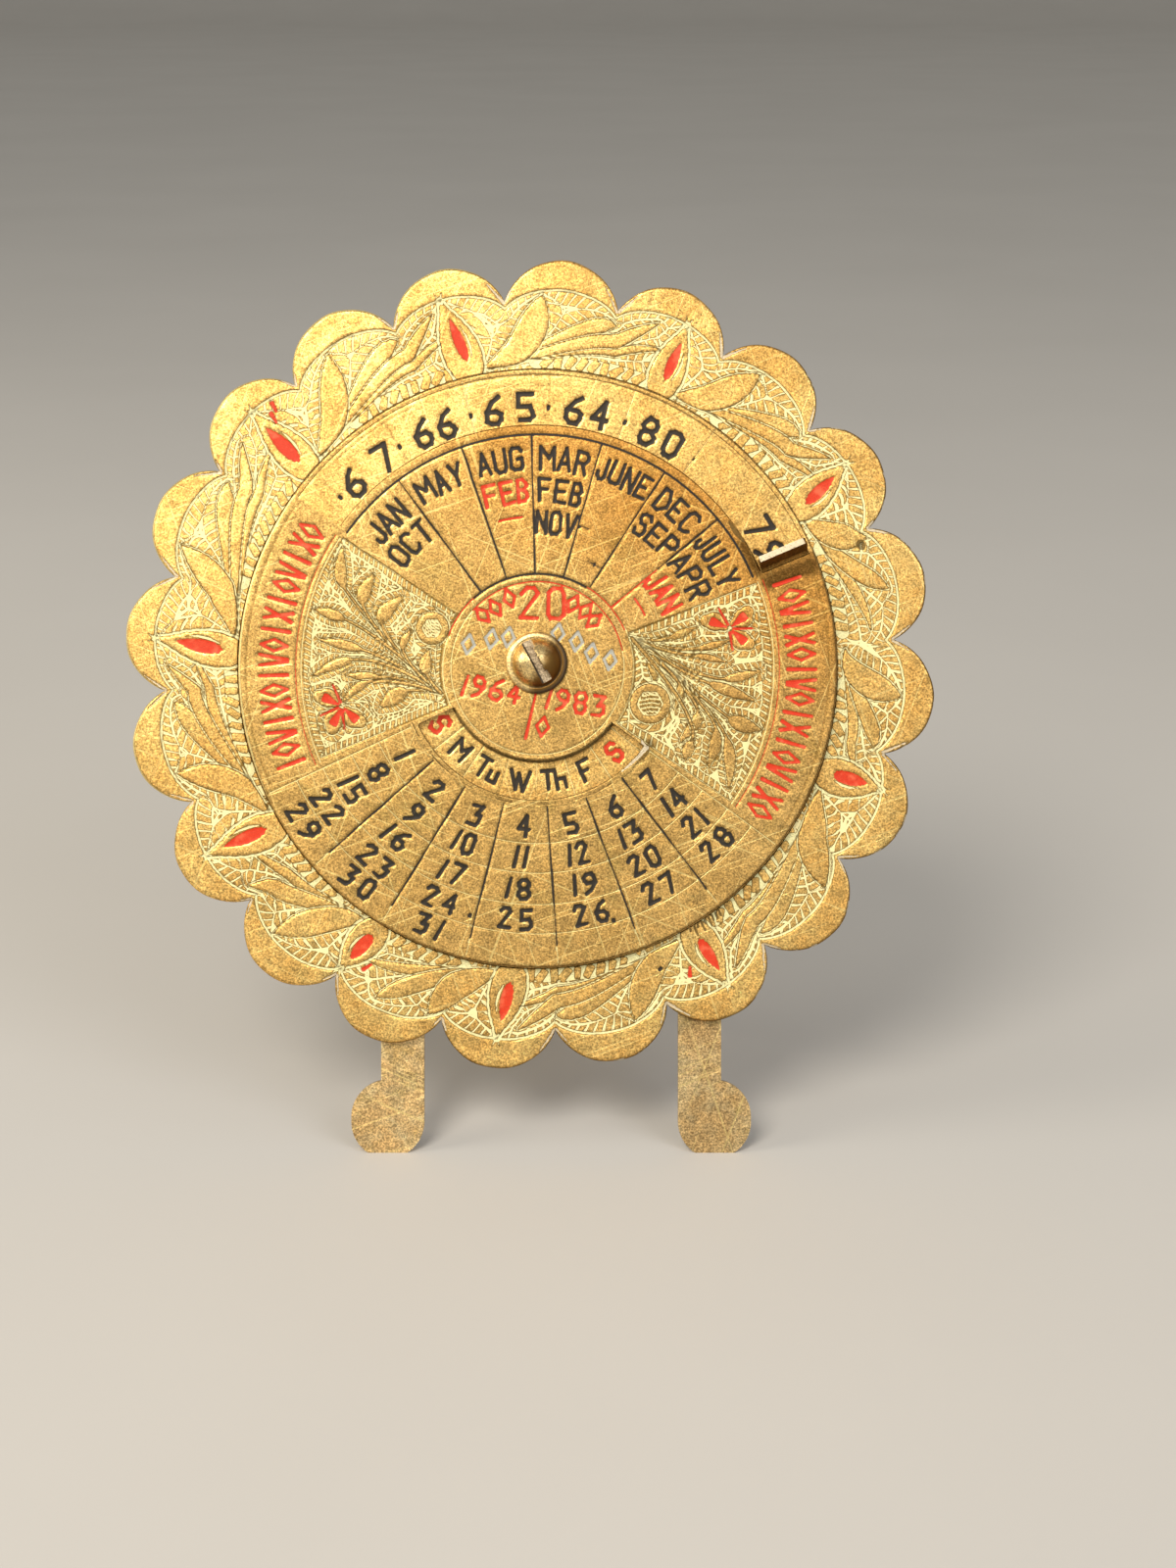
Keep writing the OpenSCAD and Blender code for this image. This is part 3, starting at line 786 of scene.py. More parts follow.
def open_group(name, **inputs):
    """Empty node group and its inputs, each named with its usual value: a
    number, a colour, or None for a position."""
    group = bpy.data.node_groups.new(name, "ShaderNodeTree")
    for key, value in inputs.items():
        kind = ("Vector" if value is None else
                "Float" if isinstance(value, float) else "Color")
        socket = group.interface.new_socket(
            key, in_out="INPUT", socket_type="NodeSocket" + kind)
        if value is not None:
            socket.default_value = value
    return group, group.nodes.new("NodeGroupInput").outputs


def close_group(group, **results):
    """Gives a node group its outputs: a colour, and plain values."""
    for key in results:
        kind = "Color" if key == "Color" else "Float"
        group.interface.new_socket(
            key, in_out="OUTPUT", socket_type="NodeSocket" + kind)
    out = group.nodes.new("NodeGroupOutput").inputs
    for key, value in results.items():
        group.links.new(value, out[key])
    return group


def brass_group():
    """Node group of old brass sheet: a bright and a dull colour in soft
    clouds, fine specks and pits, and thin scratches in several directions."""
    group, inside = open_group(
        "old_brass", Place=None, Bright=tint("#d9b04a"), Dull=tint("#a9873a"),
        Tarnish=0.5, Specks=0.5, Scratches=0.5)
    place = inside["Place"]
    clouds = noise(group, place, 0.10, 4, 0.6, 0.4)
    mottle = noise(group, place, 0.75, 5, 0.65)
    fine = noise(group, place, 2.7, 5, 0.75)
    grit = noise(group, place, 5.0, 2, 0.6)
    dust = noise(group, place, 11.0)
    spread = sum_of(group, "ADD", sum_of(group, "MULTIPLY", clouds, 0.6),
                    sum_of(group, "MULTIPLY", mottle, 0.4))
    low = sum_of(group, "MULTIPLY_ADD", inside["Tarnish"], -0.34, 0.62)
    dull = ramp(group, sum_of(group, "SUBTRACT", spread, low), -0.13, 0.13)
    colour = colour_mix(group, dull, inside["Bright"], inside["Dull"])
    stains = ramp(group, noise(group, place, 0.22, 5, 0.7, 1.2), 0.50, 0.68,
                  0.0, 0.8)
    stains = sum_of(group, "MULTIPLY", stains, inside["Tarnish"])
    colour = colour_mix(group, stains, colour, tint("#a08a4c"))
    shade = ramp(group, fine, 0.32, 0.68, 0.62, 1.24)
    shade = sum_of(group, "MULTIPLY", shade,
                   ramp(group, grit, 0.32, 0.68, 0.60, 1.40))
    shade = sum_of(group, "MULTIPLY", shade,
                   ramp(group, noise(group, place, 0.55, 3, 0.6, 0.6), 0.36,
                        0.64, 0.88, 1.10))
    colour = colour_mix(group, 1.0, colour, grey_of(group, shade), "MULTIPLY")
    pits = ramp(group, dust, 0.30, 0.38, 1.0, 0.0)
    pits = sum_of(group, "MULTIPLY", pits, inside["Specks"])
    colour = colour_mix(group, pits, colour, tint("#5c4620"))
    glints = ramp(group, dust, 0.66, 0.74, 0.0, 0.6)
    glints = sum_of(group, "MULTIPLY", glints, inside["Specks"])
    colour = colour_mix(group, glints, colour, tint("#f3dc96"))
    lines = None
    for turn, stretch, pale in ((0.35, 0.05, 0.68), (1.9, 0.035, 0.69),
                                (2.75, 0.06, 0.69), (1.2, 0.025, 0.70)):
        turned = wire(group, "Mapping", {
            "Vector": place, "Rotation": (0, 0, turn),
            "Scale": (1 / stretch, 0.3, 3.0)}, vector_type="TEXTURE"
        ).outputs[0]
        line = ramp(group, noise(group, turned, 1.0, 1, 0.4, 0.1), pale,
                    pale + 0.03)
        lines = (line if lines is None else
                 sum_of(group, "MAXIMUM", lines, line))
    lines = sum_of(group, "MULTIPLY", lines, inside["Scratches"])
    lines = sum_of(group, "MULTIPLY", lines,
                   ramp(group, grit, 0.3, 0.6, 0.75, 1.1))
    colour = colour_mix(group, lines, colour, tint("#efd68a"))
    rough = ramp(group, mottle, 0.3, 0.7, 0.30, 0.44)
    rough = sum_of(group, "MULTIPLY_ADD", dull, 0.10, rough)
    rough = sum_of(group, "MULTIPLY_ADD", pits, 0.2, rough)
    height = sum_of(group, "MULTIPLY_ADD", fine, 0.5,
                    sum_of(group, "MULTIPLY", mottle, 0.6))
    height = sum_of(group, "MULTIPLY_ADD", pits, -0.8, height)
    height = sum_of(group, "MULTIPLY_ADD", grit, 0.5, height)
    height = sum_of(group, "MULTIPLY_ADD", lines, -0.7, height)
    return close_group(group, Color=colour, Roughness=rough, Height=height)


def cut_group():
    """Node group of one kind of cut: how much of it there is at a point,
    from the distance to its edge, with a slightly ragged border."""
    group, inside = open_group("cut_edge", Distance=1.0, Place=None,
                               Ragged=0.05, Worn=0.1)
    rag = noise(group, inside["Place"], 3.2, 3.0)
    chips = noise(group, inside["Place"], 5.0, 4.0)
    rag = sum_of(group, "SUBTRACT", rag, 0.5)
    d = sum_of(group, "MULTIPLY_ADD", rag, inside["Ragged"],
               inside["Distance"])
    mask = ramp(group, d, -0.035, 0.025, 1.0, 0.0)
    loss = ramp(group, chips, 0.30, 0.42, 1.0, 0.0)
    loss = sum_of(group, "MULTIPLY", loss, inside["Worn"])
    mask = sum_of(group, "MULTIPLY", mask,
                  sum_of(group, "SUBTRACT", 1.0, loss))
    # A dark rim round the cut: grime, and painted shade standing in for the shadow along the
    # cut's wall.
    rim = sum_of(group, "ABSOLUTE", sum_of(group, "SUBTRACT", d, 0.035))
    return close_group(group, Mask=mask,
                       Rim=ramp(group, rim, 0.015, 0.055, 1.0, 0.0))


def cells_group():
    """Node group of chased ground: rows of little cells left between fine
    cuts, that lie along the leaves. Outputs the cuts and the cells' dark
    rims, grime and painted shade along the edges of the cuts."""
    group, inside = open_group(
        "chased_cells", Along=0.0, Away=1.0, Between=1.0, Ground=1.0,
        Place=None, Period=1.0, Pitch=1.5, Width=0.12)
    place = inside["Place"]
    drift, rag = noise(group, place, 0.3), noise(group, place, 3.4, 3.0)
    broad = noise(group, place, 0.45, 1.0)
    away = sum_of(group, "MULTIPLY_ADD", rag, 0.12, inside["Away"])
    row = sum_of(group, "MULTIPLY_ADD", drift, 0.45,
                 sum_of(group, "DIVIDE", away, inside["Pitch"]))
    slant = sum_of(group, "MULTIPLY_ADD", inside["Away"], 0.45,
                   inside["Along"])
    step = sum_of(group, "DIVIDE", slant, inside["Period"])
    step = sum_of(group, "MULTIPLY_ADD", drift, 0.7, step)
    step = sum_of(group, "MULTIPLY_ADD", rag, 0.10, step)
    step = sum_of(group, "MULTIPLY_ADD", sum_of(group, "FLOOR", row), 0.37,
                  step)
    gaps = []
    for value, size in ((step, inside["Period"]), (row, inside["Pitch"])):
        share = sum_of(group, "PINGPONG", value, 0.5)
        gaps.append(sum_of(group, "MULTIPLY", share, size))
    gaps.append(inside["Between"])
    near = sum_of(group, "MINIMUM", sum_of(group, "MINIMUM", *gaps[:2]),
                  gaps[2])
    width = sum_of(group, "MULTIPLY", inside["Width"],
                   ramp(group, broad, 0.35, 0.65, 0.80, 1.30))
    width = sum_of(group, "MULTIPLY", width,
                   ramp(group, sum_of(group, "FRACT", row), 0.1, 0.9, 1.22,
                        0.78))
    d = sum_of(group, "SUBTRACT", near, width)
    d = sum_of(group, "MULTIPLY_ADD", sum_of(group, "SUBTRACT", rag, 0.5),
               0.09, d)
    on_ground = ramp(group, inside["Ground"], -0.04, 0.02, 1.0, 0.0)
    mask = sum_of(group, "MULTIPLY", ramp(group, d, -0.03, 0.02, 1.0, 0.0),
                  on_ground)
    # Dark rim along each cut's edge: grime and painted shade.
    rim = ramp(group, sum_of(group, "ABSOLUTE",
                             sum_of(group, "SUBTRACT", d, 0.035)),
               0.012, 0.045, 1.0, 0.0)
    return close_group(group, Mask=mask,
                       Rim=sum_of(group, "MULTIPLY", rim, on_ground))


OLD_BRASS = brass_group()
CUT_EDGE = cut_group()
CELLS = cells_group()


def panel_place(tree):
    """Position in mm along the leaning panel."""
    spot = wire(tree, "TexCoord").outputs["Object"]
    return wire(tree, "Mapping", {
        "Vector": spot, "Scale": (1000, 1000, 1000),
        "Rotation": (math.radians(LEAN - 90), 0, 0)}).outputs[0]


def reading(tree, kind):
    """A mesh attribute's value."""
    return wire(tree, "Attribute", attribute_name=kind).outputs["Fac"]


def grouped(tree, group, ins):
    """Outputs of a node group placed in a material with its own values."""
    return wire(tree, "Group", ins, node_tree=group).outputs


def old_brass(tree, place, bright, dull, tarnish, specks, scratches):
    """Outputs of old brass in a material's own two colours and wear."""
    return grouped(tree, OLD_BRASS, {
        "Place": place, "Bright": tint(bright), "Dull": tint(dull),
        "Tarnish": tarnish, "Specks": specks, "Scratches": scratches})


def finish_surface(tree, shader, strength, colour, rough, height, metal=None):
    """Links a surface to its shader. It is metal all over unless metal says
    where, and strength is how clearly its height shows."""
    bump = wire(tree, "Bump", {"Height": height, "Distance": 0.02 * MM,
                               "Strength": strength}).outputs[0]
    surface = {"Base Color": colour, "Roughness": rough, "Normal": bump}
    if metal is None:
        shader.inputs["Metallic"].default_value = 1.0
    else:
        surface["Metallic"] = metal
    for key, value in surface.items():
        tree.links.new(value, shader.inputs[key])


def engraved_brass(name, bright, dull, tarnish, specks, scratches, cells,
                   pale, warmth):
    """Sheet brass whose cuts are bare and pale, or filled with enamel. cells
    holds the period, pitch and cut width of the chased ground and how much
    coarser it is on the right, and warmth is how much more orange the upper
    right is tinted, in patches."""
    material, tree, shader = new_material(name)
    place = panel_place(tree)
    brass = old_brass(tree, place, bright, dull, tarnish, specks, scratches)
    colour, height = brass["Color"], brass["Height"]
    rough, metal = brass["Roughness"], 1.0
    grain = noise(tree, place, 7.0, 3.0)
    thin = ramp(tree, noise(tree, place, 0.8, 4.0), 0.50, 0.68, 0.0, 0.75)
    patches = noise(tree, place, 0.16, 4.0, 0.6)
    x, y, _ = wire(tree, "SeparateXYZ", {0: place}).outputs
    y = sum_of(tree, "SUBTRACT", y, float(pivot @ panel_up) / MM)
    warm = sum_of(tree, "MULTIPLY_ADD", x, 0.6, y)
    warm = sum_of(tree, "MULTIPLY_ADD", patches, 24.0, warm)
    warm = ramp(tree, warm, 15.0, 42.0, 0.0, warmth)
    colour = colour_mix(tree, warm, colour, tint("#f2dcbf"), "MULTIPLY")
    *sizes, coarser = cells
    scale = ramp(tree, x, -8.0, 8.0, 1.0, coarser)
    period, pitch, width = (sum_of(tree, "MULTIPLY", scale, size)
                            for size in sizes)
    ground = grouped(tree, CELLS, {
        "Along": reading(tree, "along"), "Away": reading(tree, "away"),
        "Between": reading(tree, "between"),
        "Ground": reading(tree, "ground"), "Place": place, "Period": period,
        "Pitch": pitch, "Width": width})
    # The cells' dark rims: grime and painted shade along the cuts in the ground.
    colour = colour_mix(tree, sum_of(tree, "MULTIPLY", ground["Rim"], 0.85),
                        colour, tint("#5d481c"))
    cuts = sum_of(tree, "MULTIPLY", ground["Mask"], 0.9)
    colour = colour_mix(tree, cuts, colour, tint(pale))
    rough = blend(tree, cuts, rough, 0.65)
    metal = blend(tree, cuts, metal, 0.3)
    height = sum_of(tree, "MULTIPLY_ADD", ground["Mask"], -2.6, height)
    # Painted shade: the shade marks darken the brass to deep brown, a little unevenly.
    shade_share = sum_of(tree, "MULTIPLY",
                   ramp(tree, reading(tree, "painted_shade"), -0.3, 0.8, 0.85, 0.0),
                   ramp(tree, grain, 0.2, 0.6, 0.7, 1.0))
    colour = colour_mix(tree, shade_share, colour, tint("#3f2a10"))
    # Kind, colour, how ragged and worn, roughness, metal, cover, and dark rim,
    # which is grime and painted shade along the cut's edge.
    layers = (
        ("scribe_and_highlight", "#ecd998", 0.04, 0.25, 0.50, 0.80, 0.62, 0.3),
        ("cut", pale, 0.09, 0.06, 0.65, 0.30, 0.88, 0.80),
        ("line", "#54431f", 0.05, 0.20, 0.60, 0.60, 0.80, 0.0),
        ("bare", "#c6b798", 0.30, 0.45, 0.50, 0.40, 0.92, 0.6),
        ("grey", "#a3a59c", 0.06, 0.45, 0.55, 0.40, 0.90, 0.3),
        ("red", "#ca2900", 0.07, 0.06, 0.50, 0.0, 0.97, 0.35),
        ("black", "#120f0a", 0.07, 0.08, 0.50, 0.0, 0.98, 0.35),
    )
    for kind, code, ragged, worn, gloss, metallic, cover, rim in layers:
        cut = grouped(tree, CUT_EDGE, {
            "Distance": reading(tree, kind), "Place": place,
            "Ragged": ragged, "Worn": worn})
        mask = sum_of(tree, "MULTIPLY", cut["Mask"], cover)
        if rim:
            # Dark rim round the cut: grime and painted shade along its edge.
            colour = colour_mix(
                tree, sum_of(tree, "MULTIPLY", cut["Rim"], rim), colour,
                tint("#6b5322"))
        tone = colour_mix(tree, grain, *(
            [min(1.0, c * share) for c in tint(code)[:3]] + [1.0]
            for share in (0.62, 1.3)))
        if kind == "red":
            tone = colour_mix(tree, thin, tone, tint("#da5f3c"))
        colour = colour_mix(tree, mask, colour, tone)
        rough = blend(tree, mask, rough, gloss)
        metal = blend(tree, mask, metal, metallic)
        height = sum_of(tree, "MULTIPLY_ADD", mask, -2.2, height)
    shader.inputs["Specular IOR Level"].default_value = 0.3
    finish_surface(tree, shader, 0.8, colour, rough, height, metal)
    return material


plate_brass = engraved_brass("plate_brass", "#efc575", "#cda057", 0.40, 0.5,
                             0.42, (1.05, 2.3, 0.125, 1.0), "#ebdfa6", 0.15)

border_angles = columns(NOTCHES, 1400)
border_shares = np.linspace(0, 1, 61)


def border_lay(share, angles):
    """Rings from beside the dial, at share 0, to the outline, at share 1."""
    inner = at_clock(angles, BORDER_R)
    outer = PLATE_CENTRE + at_clock(angles, scallop_edge(angles))
    if share <= 1:
        edge = outer - at_clock(angles, PLATE_BEVEL)
        return (1 - share) * inner + share * edge
    return outer - at_clock(angles, PLATE_BEVEL * (2 - share))


def plate_part(name, engrave, *blank):
    """Part of the plate: a blank that is engraved and a little uneven."""
    spots, heights, faces, front, _ = sheet_blank(*blank)
    work = Engraving(spots[:front])
    engrave(work)
    heights[:front] += work.relief()
    return make_piece(
        name, "panel", on_panel(*spots.T, heights + buckle(spots)), faces,
        plate_brass, finish_marks(work, len(spots)), wall_edges(faces, front))


bevel_steps = 5
front_rings = [(s, 1, 0.0) for s in border_shares]
for i in range(1, bevel_steps + 1):
    a = math.pi / 2 * i / bevel_steps
    front_rings.append((1 + math.sin(a), 1,
                        -PLATE_BEVEL * (1 - math.cos(a))))
last = len(front_rings) - 1
back_rings = [(0, -PLATE_T), (len(border_shares) - 1, -PLATE_T),
              (last, -PLATE_T + PLATE_BEVEL)]
plate_border = plate_part("plate_border", chase_border, border_angles,
                          front_rings, back_rings, border_lay)
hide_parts("back_plate")

front_rings = [(SCREW_HOLE_R, 4, 0.0)]
for r0, r1, step, width in (
        (SCREW_HOLE_R, HUB_R, 4, 2.0), (HUB_R, DAYS_EDGE, 2, 0.19),
        (DAYS_EDGE, RING_R, 2, 1.6), (RING_R, BORDER_R, 1, 0.19)):
    front_rings += [(r, step, 0.0) for r in rows([r0, r1], width)[1:]]
back_rings = [(k, -PLATE_T) for k, (r, _, _) in enumerate(front_rings)
              if r in (SCREW_HOLE_R, HUB_R, DAYS_EDGE, RING_R, BORDER_R)]
plate_middle = plate_part(
    "plate_middle", engrave_rings, columns([0], 1000), front_rings,
    back_rings, lambda r, a: at_clock(a, r))
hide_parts("back_plate")


# Dial: 0.7 mm brass sheet that turns on the pivot screw, with a window for
# years and one for weekdays. The end of the year window is bent up as a finger
# lip, and months and dates are engraved between chased sprays of leaves.
DIAL_R, DIAL_Z, DIAL_T, DIAL_BEVEL = 33.8, 0.35, 0.7, 0.15
DIAL_FRONT = DIAL_Z + DIAL_T
DIAL_BORE = 2.55
YEAR_R, YEAR_FROM, YEAR_TO = 27.5, 305.5, 427.0
DAY_R0, DAY_R1, DAY_FROM, DAY_TO = 10.4, 14.9, 126.0, 245.0
LIP_ANGLE, LIP_BEND, LIP_LENGTH, LIP_CORNER = 74.0, 0.5, 2.0, 0.3
LIP_INNER, LIP_OUTER = YEAR_R + 0.15, DIAL_R - 0.5
DIAL_EDGE = DIAL_R - 0.16
MONTH_BOUNDS = (YEAR_FROM, 323.5, 341, 358.5, 376, 393, 410.5, 427.5)
MONTH_LINES = [a % 360 for a in MONTH_BOUNDS[1:-1]]
MONTHS_R, MONTHS_EDGE = (23.7, 20.15, 16.5), 26.4
DATE_LINES = (228.5, 211.5, 194, 176, 159.5, 142.5)
DATES_FROM, DATES_TO = 126.5, 245
DATES_R = (17.95, 21.45, 24.95, 28.4, 31.55)
DATE_RINGS = (19.8, 23.15, 26.7, 30.0)
BANDS = ((68.5, 125), (246.5, 303.5))


def in_window(r, angle):
    """Where the dial is cut out for the years and for the weekdays."""
    year = (r > YEAR_R) & ((angle > YEAR_FROM) | (angle < YEAR_TO - 360))
    day = (r > DAY_R0) & (r < DAY_R1) & (angle > DAY_FROM) & (angle < DAY_TO)
    return year | day


def lozenge(spot, turn, width, height):
    """Strokes of a small open diamond whose height points at a clock angle."""
    up, side = at_clock(turn, height / 2), at_clock(turn + 90, width / 2)
    corners = [spot + up, spot + side, spot - up, spot - side, spot + up]
    return chain(corners, 0.17)


def ruled(work, kind, angle, r0, r1, weight):
    """A filled line of uneven width, with the pale ruled line it was cut on
    beside it and a little beyond."""
    r = np.linspace(r0, r1, 9)
    a = angle + np.array([hand.uniform(-0.12, 0.12) for _ in r])
    work.cut(kind, chain(at_clock(a, r),
                         [weight * hand.uniform(0.55, 1.1) for _ in r]))
    work.cut("scribe_and_highlight", spoke(angle + 7 / r0, r0 - 0.3, r1 + 0.6, 0.03))


def engrave_months(work):
    """The months in their seven cells, the lines that part them and the
    circles round the middle."""
    months = [("JAN", "OCT"), ("MAY",), ("AUG", "-FEB"), ("MAR", "FEB", "NOV"),
              ("JUNE",), ("DEC", "SEP"), ("JULY", "APR", "-JAN")]
    for names, a, b in zip(months, MONTH_BOUNDS, MONTH_BOUNDS[1:]):
        middle = (a + b) / 2
        for name, r in zip(names, MONTHS_R):
            red = name.startswith("-")
            work.cut("red" if red else "black", figures(
                name.lstrip("-"), middle, r, 2.45, 0.20, gap=1.6,
                room=0.86 * math.radians(b - a) * r, slim=0.76))
            if red:
                work.cut("red", arc(r - 3.0, middle - 4.5, middle + 4.5, 0.13))
    for a in MONTH_LINES[:-1]:
        ruled(work, "black", a, 10.9, 26.3, 0.12)
    ruled(work, "black", MONTH_LINES[-1], 17.6, 26.3, 0.12)
    ruled(work, "red", MONTH_LINES[-1], 10.9, 17.4, 0.12)
    for a, r0, r1 in ((16.5, 16.6, 16.75), (29, 13.1, 13.5)):
        work.cut("black", spoke(a, r0, r1, 0.1))
    for kind, r, start, end, radius in (
            ("black", 16.7, 16, 20.5, 0.10), ("black", 13.3, 25.5, 32, 0.10),
            ("black", MONTHS_EDGE, YEAR_FROM, YEAR_TO, 0.13),
            ("black", 10.65, 318, 391, 0.12),
            ("red", 10.75, 391, 426, 0.10), ("red", 10.7, 290, 319, 0.08),
            ("scribe_and_highlight", 10.7, 247, 291, 0.08), ("scribe_and_highlight", 10.9, 64, 125, 0.08),
            ("red", 9.75, 312, 438, 0.10), ("scribe_and_highlight", 9.75, 76, 312, 0.09)):
        work.cut(kind, arc(r, start, end, radius))


def rule_dates(work):
    """The lines round the dates' cells and the bands, and a rough one along
    the weekday window."""
    for a in DATE_LINES:
        ruled(work, "black", a, 15.7, 31.4, 0.13)
        work.cut("scribe_and_highlight", spoke(a, 31.4, 33.4, 0.05))
    for a in (DATES_FROM, DATES_TO):
        work.cut("scribe_and_highlight", spoke(a, 15.8, 33.4, 0.06))
    for r in DATE_RINGS:
        work.cut("scribe_and_highlight", arc(r, DATES_FROM, DATES_TO, 0.05))
    for start, end in BANDS:
        work.cut("scribe_and_highlight", arc(26.7, start, end, 0.07))
    for a in np.arange(125, 246, 5.5):
        work.cut("line", arc(15.5 + hand.uniform(-0.05, 0.05), a, a + 6,
                             hand.uniform(0.03, 0.11)))
    work.cut("scribe_and_highlight", arc(15.75, 125, 246, 0.05))


def wear_dial(work):
    """Painted shade under the finger lip and at the weekday window's end, a
    chip and dark scratches at the windows' ends, and the dial's edge painted
    light at the upper left and shaded at the lower right."""
    # Painted shadow: dark patches beside and in the bend of the finger lip, and at the weekday
    # window's end.
    work.cut("painted_shade", spoke(69.6, 28.0, 33.0, 0.7))
    work.cut("painted_shade", arc(27.1, 59, 66.5, 0.35))
    work.cut("painted_shade", arc(15.2, 124, 130, 0.25))
    edge_wear(work, DIAL_R - np.hypot(*work.spots.T),
              np.degrees(np.arctan2(*work.spots.T)))
    for kind, angles, radii, weights in (
            ("bare", (143, 136, 130, 126.6, 124.8),
             (15.0, 15.1, 15.2, 15.1, 14.3), (0.05, 0.14, 0.18, 0.36, 0.12)),
            ("line", (131, 127, 125, 123.5), (15.8, 15.7, 15.3, 16.3),
             (0.03, 0.10, 0.12, 0.03)),
            ("line", (52.5, 55.3, 58.5), (27.25, 27.15, 27.3),
             (0.10, 0.32, 0.12))):
        work.cut(kind, chain(at_clock(angles, radii), weights))


def engrave_dates(work):
    """The dates in their seven cells, and two stray dots."""
    edges = (DATES_TO,) + DATE_LINES + (DATES_FROM,)
    for first, a, b in zip(range(1, 8), edges, edges[1:]):
        for date, r in zip(range(first, 32, 7), DATES_R):
            work.cut("black", figures(
                str(date), (a + b) / 2, r, 2.15, 0.225, outward=False,
                gap=1.5 + 0.17 * (r - 17)))
    for a, r in ((195.3, 28.9), (163.2, 29.7)):
        work.cut("black", spoke(a, r, r + 0.1, 0.24))


def engrave_bands(work):
    """Plain red marks in the two bands outside the sprays."""
    for start, end in BANDS:
        work.cut("red", arc(27.35, start, end, 0.08))
        work.cut("red", arc(32.95, start, end, 0.07))
        marks = "IOVIXOIVOIXIOVIXO"
        for k, mark in enumerate(marks):
            a = start + (end - start) * (k + 0.7) / (len(marks) + 0.4)
            if mark == "O":
                work.cut("red", lozenge(at_clock(a, 29.85), a, 1.3, 3.0))
                continue
            for x0, x1 in {"I": ((0, 0),), "V": ((-0.2, -1.1), (0.2, 1.1)),
                           "X": ((-1, 1), (1, -1))}[mark]:
                work.cut("red", chain(
                    at_clock([a + x0, a + x1], [28.3, 31.4]), [0.24, 0.19]))


def engrave_middle(work):
    """Numbers on straight lines, which are arcs about a far point, a short
    line and small open lozenges round the screw."""
    far = 1000.0
    for text, x, y, turn, height, weight, gap in (
            ("20", 0.6, 7.35, 3, 3.3, 0.22, 2.2),
            ("1964", -5.2, -2.4, 10, 2.2, 0.19, 2.3),
            ("1983", 4.3, -3.85, 7, 2.25, 0.19, 2.2)):
        about = np.array([x, y]) - at_clock(turn, far)
        work.cut("red", figures(text, turn, far, height, weight, gap=gap,
                                about=about))
    work.cut("red", chain([(-0.2, -2.9), (-1.35, -7.9)], [0.13, 0.2]))
    work.cut("red", lozenge(np.array([0.57, -6.6]), 10, 1.4, 2.2))
    for a, r in ((-46, 8.6), (-35, 8.3), (-22, 8.5), (29, 8.3), (40, 8.4),
                 (50, 8.3)):
        work.cut("red", lozenge(at_clock(a, r), a, 1.3, 2.1))
    for x, y in ((-7.8, 2.7), (-5.2, 3.3), (-3.3, 3.5), (2.3, 3.9), (4.4, 3.0),
                 (6.1, 1.7), (8.2, 0.9)):
        work.cut("grey", lozenge(np.array([x, y]), 9, 1.4, 2.2))


def spray(work, start, end, root, leaves, knob, flower):
    """A chased spray between two clock angles: leaves on long stems fan out
    of the root over rows of fine cuts, with a round flower and a red one.
    A leaf is the bend of its stem, its neck, its tip and its half width, a
    knob its middle and radii, and a flower its middle and petals' angles."""
    r0, r1 = 11.0, 26.5
    clock = np.degrees(np.arctan2(*work.spots.T)) % 360
    r = np.hypot(*work.spots.T)
    inside = np.minimum(clock - start, end - clock) * np.radians(1) * r
    inside = np.minimum(inside, np.minimum(r - r0, r1 - r))
    work.marks["ground"] = np.minimum(work.marks["ground"], -inside)
    edges = [arc(r0, start, end, 0.05), arc(r1, start, end, 0.05),
             spoke(start, r0, r1, 0.05), spoke(end, r0, r1, 0.05)]
    shoots = []
    for bend, neck, tip, width in leaves:
        bend, neck, tip = (np.array(p) for p in (bend, neck, tip))
        stem = bent(root, bend, neck, 13)
        blade = bent(neck, neck + 0.35 * (neck - bend)
                     * math.dist(neck, tip) / math.dist(neck, bend), tip, 13)
        shoots.append(np.concatenate([
            chain(stem, np.linspace(0.18, 0.13, 13)),
            chain(blade, np.maximum(leaf_widths(13, 1.2 * width, 0.5),
                                    0.12))]))
    middle, outer, inner = np.array(knob[0]), knob[1], knob[2]
    ball = chain([middle, middle + [0.05, 0]], outer)
    centre = np.array(flower[0])
    petals = [chain([centre + at_clock(a, 0.7), centre + at_clock(a + 6, 1.9),
                     centre + at_clock(a, 2.7)], [0.45, 1.05, 0.7])
              for a in flower[1]]
    return edges, shoots, (middle, ball, inner), (centre, petals, flower[1])


def cut_spray(work, edges, shoots, knob, flower):
    """Cuts one spray over the ground that follows its leaves."""
    for shoot in shoots:
        work.blade(shoot, 0.055)
    for edge in edges:
        work.cut("cut", edge)
    middle, ball, inner = knob
    work.blade(ball, 0.08)
    for k in range(-2, 3):
        y = 0.36 * k * inner
        half = 0.85 * math.sqrt(inner ** 2 - y ** 2)
        work.cut("cut", chain(
            middle + np.array([(-half, y - 0.1), (0, y + 0.1), (half, y)]),
            0.10))
    work.cut("cut", chain([middle + at_clock(a, inner + 0.12 * (a // 30 % 2))
                           for a in range(0, 361, 30)], 0.09))
    centre, petals, angles = flower
    for petal in petals:
        work.blade(petal, 0.08)
    for a in angles:
        work.cut("red", chain([centre + at_clock(a, 0.35),
                               centre + at_clock(a + 3, 1.9)], [0.08, 0.52]))
        work.cut("red", chain([centre + at_clock(a + 48, 0.5),
                               centre + at_clock(a + 43, 2.6)], [0.18, 0.12]))


dial_angles = columns((YEAR_FROM, YEAR_TO - 360, DAY_FROM, DAY_TO,
                       *MONTH_LINES, *DATE_LINES, DATES_FROM), 1000)
